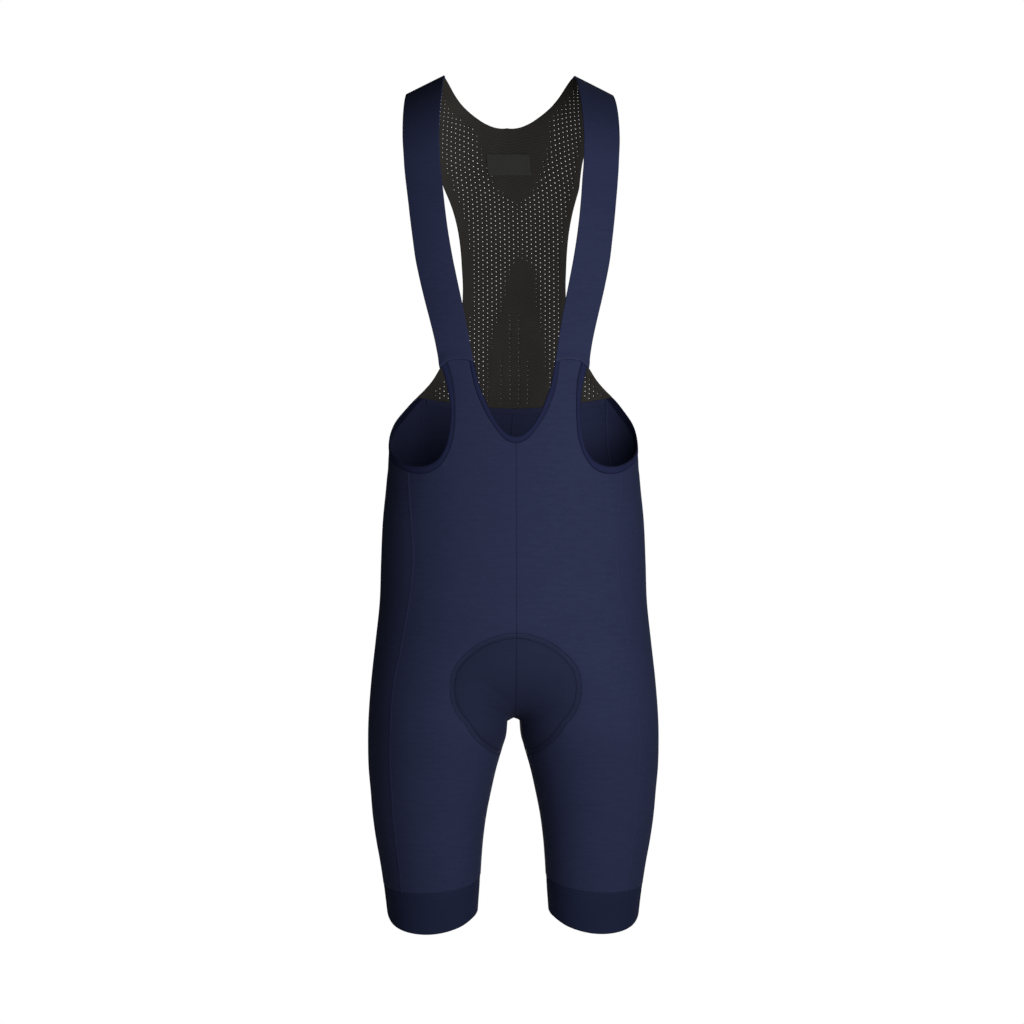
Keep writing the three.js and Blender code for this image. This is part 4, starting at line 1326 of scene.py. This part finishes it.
class BIBSHORTS_OT_yoke(bpy.types.Operator):
    """Open-net yoke from both shoulders down to the waist"""

    bl_idname = "bib_shorts.yoke"
    bl_label = "Back yoke"

    def execute(self, context):
        """The net is a flat grid of cells. Cells round a hole's point are left out, the points
        beside it move onto the hole's rim, and those on the border move onto the yoke's edge."""
        s = sizes()
        across, down = s.hole_across / MM / NET_CELLS, s.hole_down / MM / NET_CELLS
        neck, foot, side, shoulder = (yoke_flat(line) for line in yoke_outline())
        half = np.concatenate([neck, foot[:1], foot, side, shoulder])
        edge = np.concatenate([foot, side, shoulder, neck])
        low, high = edge.min(0), edge.max(0)
        columns = int(np.ceil(high[0] / across)) + 1
        start = int(np.floor(low[1] / down)) - 1
        end = int(np.ceil(high[1] / down)) + 1
        k, i = np.meshgrid(np.arange(start, end + 1), np.arange(-columns, columns + 1), indexing="ij")
        flat = place(i * across, k * down)
        column = i // NET_CELLS
        offset = column % 2 * (NET_CELLS // 2)
        openness = self.openness(flat, column, half, edge[len(foot):], foot)
        is_open = (i % NET_CELLS == 0) & ((k - offset) % NET_CELLS == 0) & (openness > 0)
        keep = inside(sum(corners(on_one_side(flat))) / 4, half) & ~np.any(corners(is_open), 0)
        uneven = 1 - UNEVEN + UNEVEN * np.sin(i * 1.7 + k * 2.3) * np.cos(i * 0.37 - k * 0.61)
        radius = (s.hole_radius / MM * openness * uneven)[is_open][:, None]
        ring = np.zeros(flat.shape[:2], bool)
        moved = flat.copy()
        rows_at, columns_at = np.nonzero(is_open)
        for dk, di in ((-1, -1), (-1, 0), (-1, 1), (0, -1), (0, 1), (1, -1), (1, 0), (1, 1)):
            step = np.array([di * across, dk * down])
            spot = flat[is_open] + radius * step / np.linalg.norm(step)
            moved[rows_at + dk, columns_at + di] = spot
            ring[rows_at + dk, columns_at + di] = True
        around = sum(corners(np.pad(keep.astype(int), 1)))
        used = around > 0
        border = used & (around < 4) & ~ring
        snapped = nearest(on_one_side(moved[border]), edge)[0]
        snapped[:, 0] *= np.where(moved[border][:, 0] < 0, -1.0, 1.0)
        moved[border] = snapped
        index = np.full(flat.shape[:2], -1)
        index[used] = np.arange(used.sum())
        quads = np.stack([index[1:, :-1], index[1:, 1:], index[:-1, 1:], index[:-1, :-1]], -1)[keep]
        spots = moved[used]
        points, normals = on_figure(yoke_places(spots))
        away = to_line(on_one_side(spots), edge)
        fold = NET_FOLD * (1 - smooth((away - s.hem / MM) / NET_FOLD_WIDTH + 0.5))
        rounded = NET_ROUND * ring[used] + NET_ROUND * (1 - smooth(away / NET_ROUND_WIDTH))
        walls = np.stack([points - normals * rounded[:, None],
                          points - normals * (s.net / MM + fold - rounded)[:, None]])
        walls[..., 0] *= np.where(spots[:, 0] > 0, -1.0, 1.0)
        self.build(walls.reshape(-1, 3), quads, spots, openness[used])
        return {"FINISHED"}

    def openness(self, flat, column, half, upper, foot):
        """Size of a hole at each point, as a part of the full size. It is 0 at the hems and in
        the plain middle, but for the faint columns there, and grows from both."""
        folded = on_one_side(flat)
        level = np.interp(flat[..., 1], LAID_DOWN_BACK, LAID_LEVELS)
        plain = read(YOKE_SOLID, "level", level)
        past_middle = np.abs(flat[..., 0] + plain["aside"]) - plain["half"]
        past_hem = to_line(folded, upper) - (sizes().hem / MM + SIDE_SKEW * np.sign(flat[..., 0]))
        in_edge = inside(folded, half) & (past_hem > 0) & (to_line(folded, foot) > WAIST_HEM)
        from_edge = mix(EDGE_HOLE, 1, smooth(past_hem / EDGE_FADE))
        grown = mix(LEAST_HOLE, 1, smooth(past_middle / HOLE_FADE) * from_edge)
        faint = sum((np.abs(column) == number) & (level < top) for number, top in FAINT_COLUMNS.items())
        return np.where(past_middle > 0, grown, FAINT_HOLE * faint) * in_edge

    def build(self, points, quads, spots, openness):
        """Closes the two sides of the net along every border of its quads, holes included."""
        count = len(spots)
        edges = np.concatenate([quads[:, [a, (a + 1) % 4]] for a in range(4)])
        codes = edges[:, 0] * count + edges[:, 1]
        back = edges[:, 1] * count + edges[:, 0]
        borders = edges[~np.isin(codes, back)]
        rims = np.stack([borders[:, 1], borders[:, 0], borders[:, 0] + count, borders[:, 1] + count], -1)
        faces = np.concatenate([quads, quads[:, ::-1] + count, rims])
        parts = (points, faces, spots[faces % count])
        make_sheet("back_yoke", parts, "black_net", attributes={"open_net": doubled(openness)})


# Walls of the solids that other pieces lie inside, and the tape's width and thickness
KNIT_SOLID = 1.2
NET_SOLID = 1.0
TAPE_WIDTH = 6.0
TAPE = 0.8

# How far the tape's end is from the seam, its top from the waist, and its face from the panel
TAPE_END = 0.012
TAPE_DROP = 0.3
TAPE_GAP = 0.35
TAPE_ROUNDING = 0.35


class BIBSHORTS_OT_waist_tape(bpy.types.Operator):
    """Elastic tape inside the back waist"""

    bl_idname = "bib_shorts.waist_tape"
    bl_label = "Waist tape"

    def execute(self, context):
        shares = np.linspace(BACK_SEAM["share"][0] + TAPE_END, 1, 90)
        down = ticks(8, 1)
        gaps = -TAPE_DROP - TAPE_WIDTH * down
        points, normals = on_figure(np.stack([waist(shares, gap) for gap in gaps], 1))
        sunk = KNIT_SOLID + TAPE_GAP
        edge = np.sin(np.pi * np.clip(down, 0.03, 0.97)) ** TAPE_ROUNDING
        outer = points - normals * sunk
        inner = points - normals * (sunk + TAPE * edge)[None, :, None]
        uv = place(run_length(points, 0), -gaps)
        make_sheet("back_waist_tape", shell(*across_middle(outer, inner, uv)), "waist_tape")
        return {"FINISHED"}


# The pad: its gap from the panel and its thickness at the outline and in the middle, with the
# depth of its channels, and the place and width of the side ones across it
PAD_OUTLINE_GAP = 1.1
PAD_GAP = 2.0
PAD_EDGE = 2.0
PAD_MIDDLE = 8.0
PAD_CHANNEL = 1.6
PAD_SIDE_CHANNEL = (0.5, 0.035)
PAD_MIDDLE_CHANNEL = 0.05
PAD_FINE = 6


class BIBSHORTS_OT_seat_pad(bpy.types.Operator):
    """Pad sewn inside the crotch"""

    bl_idname = "bib_shorts.seat_pad"
    bl_label = "Seat pad"

    def execute(self, context):
        last = SEAT_PAD["row"][-1]
        rows = np.linspace(0, last, int(last) * PAD_FINE + 1)
        across = finer(PAD_COLUMNS, PAD_FINE)[None]
        row = {name: column[:, None] for name, column in read(SEAT_PAD, "row", rows).items()}
        share = np.where(rows > PAD_CROTCH_ROW, 1.0, 0.0)[:, None] + row["share"] * across
        level = mix(row["middle"], row["level"], across)
        along = np.maximum(np.sin(np.pi * rows / last), 0)[:, None]
        fullness = np.sqrt(along * np.maximum(np.cos(np.pi * across / 2), 0))
        gap = KNIT_SOLID + mix(PAD_OUTLINE_GAP, PAD_GAP, np.sqrt(fullness))
        points, normals = on_figure(place(share, level))
        points[:, 0, 0] = 0
        normals[:, 0, 0] = 0
        normals = unit(normals)
        at, width = PAD_SIDE_CHANNEL
        channel = PAD_CHANNEL * np.exp(-(((across - at) / width) ** 2)) * along
        middle = PAD_CHANNEL * np.exp(-((across / PAD_MIDDLE_CHANNEL) ** 2)) * along
        thickness = mix(PAD_EDGE, PAD_MIDDLE, fullness) - channel - middle
        outer = points - normals * gap[..., None]
        inner = points - normals * (gap + thickness)[..., None]
        uv = laid(np.abs(row["share"]) * across, level)
        uv[..., 1] = run_length(points, 0)[:, :1]
        wide = [np.swapaxes(grid, 0, 1)[::-1] for grid in (outer, inner, uv)]
        piece = make_piece("seat_pad_cloth", shell(*across_middle(*wide)), "pad_cloth", node="seat_pad")
        return {"FINISHED"}


class BIBSHORTS_OT_neck_label(bpy.types.Operator):
    """Bare label inside the back neck"""

    bl_idname = "bib_shorts.neck_label"
    bl_label = "Neck label"

    def execute(self, context):
        shares = np.linspace(LABEL_SHARE, 1, 40)[:, None]
        heights = mix(LABEL_TOP, LABEL_FOOT, ticks(6, 4))[None]
        grid = place(shares, level_at(shares, heights))
        points, normals = on_figure(grid)
        sunk = NET_SOLID + LABEL_LIFT
        outer = points - normals * sunk
        turn = edge_turn(points, {"left": FREE, "right": FREE, "top": FREE})
        inner = points - normals * (sunk + LABEL - turn)[..., None]
        outer[-1, :, 0] = inner[-1, :, 0] = 0
        parts = shell(*across_middle(outer, inner, yoke_flat(grid) * [-1, 1]))
        make_sheet("neck_label", parts, "label_cloth")
        return {"FINISHED"}


def seam_frame(places, pitch, lift=0.0):
    """Even steps along a line on the cloth: its points, and its directions along, sideways and
    outward, each read from a fine run of the line by its length."""
    points, normals = on_figure(places)
    points = points + normals * lift
    length = run_length(points, 0)
    count = max(int(round(length[-1] / pitch)), 2)
    at = np.linspace(0, length[-1], count + 1)
    points = np.stack([np.interp(at, length, column) for column in points.T], -1)
    normals = np.stack([np.interp(at, length, column) for column in normals.T], -1)
    along = unit(np.gradient(points, axis=0))
    normals = unit(normals - along * (normals * along).sum(1, keepdims=True))
    return points, along, np.cross(normals, along), normals


# Section of a thread, which is flatter along the cloth's normal
SECTION = np.array([[1, 0], [0, 1], [-1, 0], [0, -1]], float)
THREAD_FLATNESS = 0.75


def threads(paths, normals, radius):
    """Closed threads of four sides along many paths of equal count: the section is a diamond,
    carried along each path, with a face on each end."""
    along = unit(np.gradient(paths, axis=1))
    sideways = unit(np.cross(normals[:, None], along))
    upright = np.cross(along, sideways)
    rings = (
        paths[:, :, None]
        + sideways[:, :, None] * SECTION[None, None, :, :1] * radius
        + upright[:, :, None] * SECTION[None, None, :, 1:] * radius * THREAD_FLATNESS
    )
    count, steps = paths.shape[:2]
    last = (steps - 1) * 4
    caps = np.array([[3, 2, 1, 0], [last, last + 1, last + 2, last + 3]])
    faces = np.concatenate([grid_faces(steps, 4, True).reshape(-1, 4), caps])
    faces = ((np.arange(count) * steps * 4)[:, None, None] + faces[None]).reshape(-1, 4)
    return rings.reshape(-1, 3), faces, np.zeros((len(faces), 4, 2))


# A thread that crosses a flat seam: along its step, from side to side, and up over the ribbon
CROSSING = table(
    ["step", "side", "height"],
    [[0, -1, 0], [0.22, -0.6, 0.9], [0.78, 0.6, 0.9], [1, 1, 0]],
)

# A flat seam: its pitch along, how far its sides sink, its crown, and its depth in the cloth
FLAT_PITCH = 1.9
SEAM_LOW = -0.12
SEAM_ARCH = 0.42
SEAM_UNDER = 0.5

# The ribbon is narrower and lower than the threads, and its stitch rows lie inside its sides
RIBBON_WIDTH = 0.98
RIBBON_LOW = 0.1
RIBBON_CROWN = 0.05
ROW_ASIDE = 0.86
ROW_HEIGHT = 0.45


def flat_seam(places, lift=0.0):
    """A flat seam: a low ribbon of cloth over the join, threads that cross it slantwise to and
    fro, and a row of short stitches along each side."""
    s = sizes()
    half = s.seam_width / MM / 2
    points, along, sideways, normals = seam_frame(places, FLAT_PITCH / 2, lift)
    row = {name: column[None, :, None] for name, column in CROSSING.items()}
    step = np.linalg.norm(points[1] - points[0])
    turn = np.where(np.arange(len(points) - 1) % 2 == 0, 1.0, -1.0)[:, None, None]
    paths = (
        points[:-1, None]
        + along[:-1, None] * (row["step"] * step)
        + sideways[:-1, None] * (row["side"] * half * turn)
        + normals[:-1, None] * (SEAM_LOW + row["height"] * SEAM_ARCH)
    )
    crossing = threads(paths, normals[:-1], s.thread / MM)
    place_across = np.linspace(-1, 1, 7)
    crown = np.sqrt(np.clip(1 - place_across**2, 0, 1))
    wide = points[:, None] + sideways[:, None] * (place_across[None, :, None] * half * RIBBON_WIDTH)
    height = SEAM_LOW - RIBBON_LOW + crown * (SEAM_ARCH - RIBBON_CROWN)
    outer = wide + normals[:, None] * height[None, :, None]
    inner = wide - normals[:, None] * SEAM_UNDER
    uv = place(place_across[None] * half, (np.arange(len(points)) * step)[:, None])
    ribbon = shell(outer[:, ::-1], inner[:, ::-1], uv[:, ::-1])
    aside = half * ROW_ASIDE
    height = SEAM_LOW + SEAM_ARCH * ROW_HEIGHT + lift
    rows = [needle_row(places, side, height, FLAT_PITCH) for side in (-aside, aside)]
    return joined([ribbon, crossing, *rows])


# A stitch: its part of a step, where along it the thread bends, and how far its ends dip
STITCH_FILL = 0.84
STITCH_RUN = np.array([0, 0.2, 0.8, 1])
STITCH_DIP = np.array([-0.3, 0, 0, -0.3])
STITCH_THREAD = 0.85


def needle_row(places, aside, height, length, thickness=STITCH_THREAD):
    """A row of short stitches beside a line on the cloth: each thread dips at both its ends."""
    points, along, sideways, normals = seam_frame(places, length)
    reach = np.linalg.norm(points[1] - points[0]) * STITCH_FILL
    spots = points[:-1] + sideways[:-1] * aside
    paths = (
        spots[:, None]
        + along[:-1, None] * (STITCH_RUN[None, :, None] * reach)
        + normals[:-1, None] * (height + STITCH_DIP)[None, :, None]
    )
    return threads(paths, normals[:-1], sizes().thread / MM * thickness)


# Where the inseam and the seam on top of the bib start and end, and how far the bib's lies down
INSEAM_TOP = -718
BIB_SEAM_ENDS = (0.097, 0.177)
FLAT_SEAM_RISE = -1.5


class BIBSHORTS_OT_seams(bpy.types.Operator):
    """Flat seams between panels, braces and yoke"""

    bl_idname = "bib_shorts.seams"
    bl_label = "Flat seams"

    def execute(self, context):
        shoulder = np.linspace(YOKE_SIDE["share"][0], YOKE_NECK["share"][0], 60)
        lines = {
            "side_seam": seam_places(SIDE_SEAM, np.linspace(SIDE_SEAM["level"][0] - 1, SIDE_FOOT, 400)),
            "back_seam": seam_places(BACK_SEAM, np.linspace(BACK_SEAM["level"][0] - 1, BACK_FOOT, 400)),
            "inseam": place(0.0, np.linspace(INSEAM_TOP, INSEAM_FOOT, 300)),
            "bib_seam": strap_seam(np.linspace(*BIB_SEAM_ENDS, 100)) + [0, FLAT_SEAM_RISE],
            "shoulder_seam": place(shoulder, STRAP_BACK_LEVEL),
        }
        for name, places in lines.items():
            parts = flat_seam(places, STRAP_PROUD if name == "bib_seam" else 0.0)
            for side_name, each in both_sides(name, parts):
                make_piece(side_name, each, "navy_thread")
        parts = flat_seam(waist(np.linspace(BACK_SEAM["share"][0], 1, 300)))
        make_piece("waist_seam", joined([parts, mirrored(*parts)]), "navy_thread")
        return {"FINISHED"}


# Rows of stitches: across a binding and off it, off the band's groove, and off the pad's
BINDING_STITCHES = (0.2, 0.79)
BINDING_ROW_HEIGHT = 0.33
BAND_ROW_HEIGHT = -BAND_INSET - BAND_GROOVE + 0.1
PAD_ROW_HEIGHT = -0.23
PAD_THREAD = 1.7

# A place inside the pad's outline, and how the rows moved in from it are searched for
PAD_INSIDE = (0.05, -680.0)
PAD_SEARCH_STEPS = 10
PAD_SEARCH_REACH = 3
LEAST_SHARE = 0.001
MOST_SHARE = 0.6


class BIBSHORTS_OT_stitches(bpy.types.Operator):
    """Rows of stitches on the bindings, the leg bands and round the pad"""

    bl_idname = "bib_shorts.stitches"
    bl_label = "Stitch rows"

    def execute(self, context):
        s = sizes()
        length = s.stitch / MM
        neck, arm = (
            joined([needle_row(on_binding(edge, steps, across), 0, BINDING_ROW_HEIGHT, length)
                    for across in BINDING_STITCHES])
            for edge, steps in ((NECK_EDGE, np.linspace(0.02, 1, 300)),
                                (ARM_EDGE, np.linspace(0.01, 1.99, 700)))
        )
        make_piece("neck_stitches", joined([neck, mirrored(*neck)]), "trim_thread")
        share = np.linspace(0, 1, 500)
        fold = place(share, read(LEG_BAND, "share", share)["top"] - BAND_FOLD)
        band = needle_row(fold, 0, BAND_ROW_HEIGHT, length)
        pad = joined([needle_row(self.pad_line(inset, behind), 0, PAD_ROW_HEIGHT, length, PAD_THREAD)
                      for inset in (0.0, s.pad_rows / MM) for behind in (False, True)])
        for name, parts, kind, slot in (
            ("armhole_stitches", arm, "trim_thread", "navy_trim"),
            ("band_stitches", band, "navy_thread", "navy_band"),
            ("pad_stitches", pad, "dark_thread", "navy_knit"),
        ):
            for side_name, each in both_sides(name, parts):
                make_piece(side_name, each, kind)
        return {"FINISHED"}

    def pad_line(self, inset, behind):
        """The pad's outline on the figure, moved in by inset: each place steps square to the
        outline, and its share and level are then found by short steps of both."""
        row = read(SEAT_PAD, "row", pad_rows(behind, 260, 240))
        share, level = np.abs(row["share"]), row["level"]
        end = -1 if behind else 0
        to_middle = np.linspace(LEAST_SHARE, share[end] - LEAST_SHARE, 14)
        at_middle = mix(SEAT_PAD["middle"][end], level[end], (to_middle / share[end]) ** 2)
        if behind:
            share, level = np.append(share, to_middle[::-1]), np.append(level, at_middle[::-1])
        else:
            share, level = np.append(to_middle, share), np.append(at_middle, level)

        def spot(share, level):
            return figure(1 - share if behind else share, level)

        points = spot(share, level)
        along = np.gradient(points, axis=0)
        inward = unit(np.cross(outward(1 - share if behind else share, level), along))
        inward *= np.sign(((spot(*PAD_INSIDE) - points) * inward).sum(1))[:, None]
        target = points + inward * inset
        for _ in range(PAD_SEARCH_STEPS):
            now = spot(share, level)
            gap = target - now
            round_step = (spot(share + NORMAL_SHARE, level) - now) / NORMAL_SHARE
            up_step = spot(share, level + 1.0) - now
            a, b, c = (round_step**2).sum(1), (round_step * up_step).sum(1), (up_step**2).sum(1)
            d, e = (round_step * gap).sum(1), (up_step * gap).sum(1)
            scale = np.maximum(a * c - b * b, 1e-6)
            share = np.clip(share + (c * d - b * e) / scale, LEAST_SHARE, MOST_SHARE)
            level = level + np.clip((a * e - b * d) / scale, -PAD_SEARCH_REACH, PAD_SEARCH_REACH)
        return place(1 - share if behind else share, level)


# Camera: straight ahead of the garment at its mid height, a little to the wearer's right
CAMERA_DISTANCE = 2.8
CAMERA_TURN = -1.5
CAMERA_ASIDE = -0.00145
CAMERA_HEIGHT = -0.4749
FRAME_PIXELS = 1024
METRES_PER_PIXEL = 0.00112
SENSOR = 36.0

# Surroundings as light: their colour and strength
WORLD_LIGHT = (0.9, 0.93, 1, 1)
WORLD_STRENGTH = 0.05

# Floor: its level and size, and its colour as light finds it
FLOOR_Z = -1.4
FLOOR_RADIUS = 12.0
FLOOR_SIDES = 96
FLOOR_COLOUR = (0.8, 0.8, 0.8, 1)
FLOOR_ROUGHNESS = 0.9


def area_light(name, azimuth, height, distance, wide, tall, power):
    """An upright soft light that faces the middle of the garment from a turn round it."""
    light = bpy.data.lights.new(name, "AREA")
    light.shape = "RECTANGLE"
    light.size = wide
    light.size_y = tall
    light.energy = power
    lamp = bpy.data.objects.new(name, light)
    angle = np.radians(azimuth)
    middle = np.array([0, 0, CAMERA_HEIGHT])
    spot = middle + [np.sin(angle) * distance, -np.cos(angle) * distance, height]
    lamp.location = spot
    lamp.rotation_euler = Vector(middle - spot).to_track_quat("-Z", "Y").to_euler()
    lamp.visible_camera = False
    bpy.context.scene.collection.objects.link(lamp)


def seen_apart(tree, lit, seen, out):
    """Gives the camera one shader and all other rays another."""
    path = tree.nodes.new("ShaderNodeLightPath")
    both = tree.nodes.new("ShaderNodeMixShader")
    tree.links.new(path.outputs["Is Camera Ray"], both.inputs[0])
    tree.links.new(lit.outputs[0], both.inputs[1])
    tree.links.new(seen.outputs[0], both.inputs[2])
    tree.links.new(both.outputs[0], out.inputs["Surface"])


class BIBSHORTS_OT_stage(bpy.types.Operator):
    """Camera, soft studio light and pale floor"""

    bl_idname = "bib_shorts.stage"
    bl_label = "Stage"

    def execute(self, context):
        scene = context.scene
        camera = bpy.data.cameras.new("camera")
        camera.sensor_width = SENSOR
        camera.lens = CAMERA_DISTANCE / METRES_PER_PIXEL / FRAME_PIXELS * SENSOR
        stand = bpy.data.objects.new("camera", camera)
        turn = np.radians(CAMERA_TURN)
        stand.location = (
            np.sin(turn) * CAMERA_DISTANCE + np.cos(turn) * CAMERA_ASIDE,
            -np.cos(turn) * CAMERA_DISTANCE + np.sin(turn) * CAMERA_ASIDE,
            CAMERA_HEIGHT,
        )
        stand.rotation_euler = (np.pi / 2, 0, turn)
        scene.collection.objects.link(stand)
        scene.camera = stand
        scene.view_settings.view_transform = "Standard"
        self.world(scene)
        self.floor(scene)
        area_light("key", azimuth=21, height=0.1, distance=1.2, wide=0.8, tall=0.7, power=11)
        area_light("back", azimuth=178, height=0.3, distance=3.2, wide=1.6, tall=2.4, power=34)
        return {"FINISHED"}

    def world(self, scene):
        """Pale surroundings: white where the camera sees them, and dim as light."""
        world = bpy.data.worlds.new("studio")
        world.use_nodes = True
        scene.world = world
        tree = world.node_tree
        tree.nodes.clear()
        seen = tree.nodes.new("ShaderNodeBackground")
        seen.inputs["Color"].default_value = (1, 1, 1, 1)
        lit = tree.nodes.new("ShaderNodeBackground")
        lit.inputs["Color"].default_value = WORLD_LIGHT
        lit.inputs["Strength"].default_value = WORLD_STRENGTH
        seen_apart(tree, lit, seen, tree.nodes.new("ShaderNodeOutputWorld"))

    def floor(self, scene):
        """A round pale floor below the hems, which fades into the surroundings."""
        angles = np.linspace(0, 2 * np.pi, FLOOR_SIDES, endpoint=False)
        rim = np.stack([np.cos(angles) * FLOOR_RADIUS, np.sin(angles) * FLOOR_RADIUS,
                        np.full(FLOOR_SIDES, FLOOR_Z)], -1)
        mesh = bpy.data.meshes.new("floor")
        mesh.from_pydata(rim.tolist(), [], [list(range(FLOOR_SIDES))])
        floor = bpy.data.objects.new("floor", mesh)
        scene.collection.objects.link(floor)
        pale = bpy.data.materials.new("pale_floor")
        pale.use_nodes = True
        nodes = pale.node_tree.nodes
        surface = nodes["Principled BSDF"]
        surface.inputs["Base Color"].default_value = FLOOR_COLOUR
        surface.inputs["Roughness"].default_value = FLOOR_ROUGHNESS
        seen_apart(pale.node_tree, surface, nodes.new("ShaderNodeEmission"), nodes["Material Output"])
        mesh.materials.append(pale)


class BIBSHORTS_PT_sidebar(bpy.types.Panel):
    """Sizes, colours and the steps that sew the shorts"""

    bl_idname = "BIBSHORTS_PT_sidebar"
    bl_label = "Bib shorts"
    bl_space_type = "VIEW_3D"
    bl_region_type = "UI"
    bl_category = "Bib shorts"

    def draw(self, context):
        for group in (context.scene.bib_sizes, context.scene.bib_colours):
            box = self.layout.box()
            for key in group.bl_rna.properties.keys():
                if key not in ("rna_type", "name"):
                    box.prop(group, key)
        for step in STEPS:
            self.layout.operator(step.bl_idname)


STEPS = (
    BIBSHORTS_OT_stage,
    BIBSHORTS_OT_panels,
    BIBSHORTS_OT_straps,
    BIBSHORTS_OT_bindings,
    BIBSHORTS_OT_bands,
    BIBSHORTS_OT_yoke,
    BIBSHORTS_OT_waist_tape,
    BIBSHORTS_OT_seat_pad,
    BIBSHORTS_OT_neck_label,
    BIBSHORTS_OT_seams,
    BIBSHORTS_OT_stitches,
)
CLASSES = (ClothSizes, ClothColours, *STEPS, BIBSHORTS_PT_sidebar)


def register():
    for each in CLASSES:
        bpy.utils.register_class(each)
    bpy.types.Scene.bib_sizes = bpy.props.PointerProperty(type=ClothSizes)
    bpy.types.Scene.bib_colours = bpy.props.PointerProperty(type=ClothColours)


def unregister():
    del bpy.types.Scene.bib_colours
    del bpy.types.Scene.bib_sizes
    for each in reversed(CLASSES):
        bpy.utils.unregister_class(each)


def main():
    register()
    bpy.ops.bib_shorts.stage()
    bpy.ops.bib_shorts.panels()
    bpy.ops.bib_shorts.straps()
    bpy.ops.bib_shorts.bindings()
    bpy.ops.bib_shorts.bands()
    bpy.ops.bib_shorts.yoke()
    bpy.ops.bib_shorts.waist_tape()
    bpy.ops.bib_shorts.seat_pad()
    bpy.ops.bib_shorts.neck_label()
    bpy.ops.bib_shorts.seams()
    bpy.ops.bib_shorts.stitches()


if __name__ == "__main__":
    main()
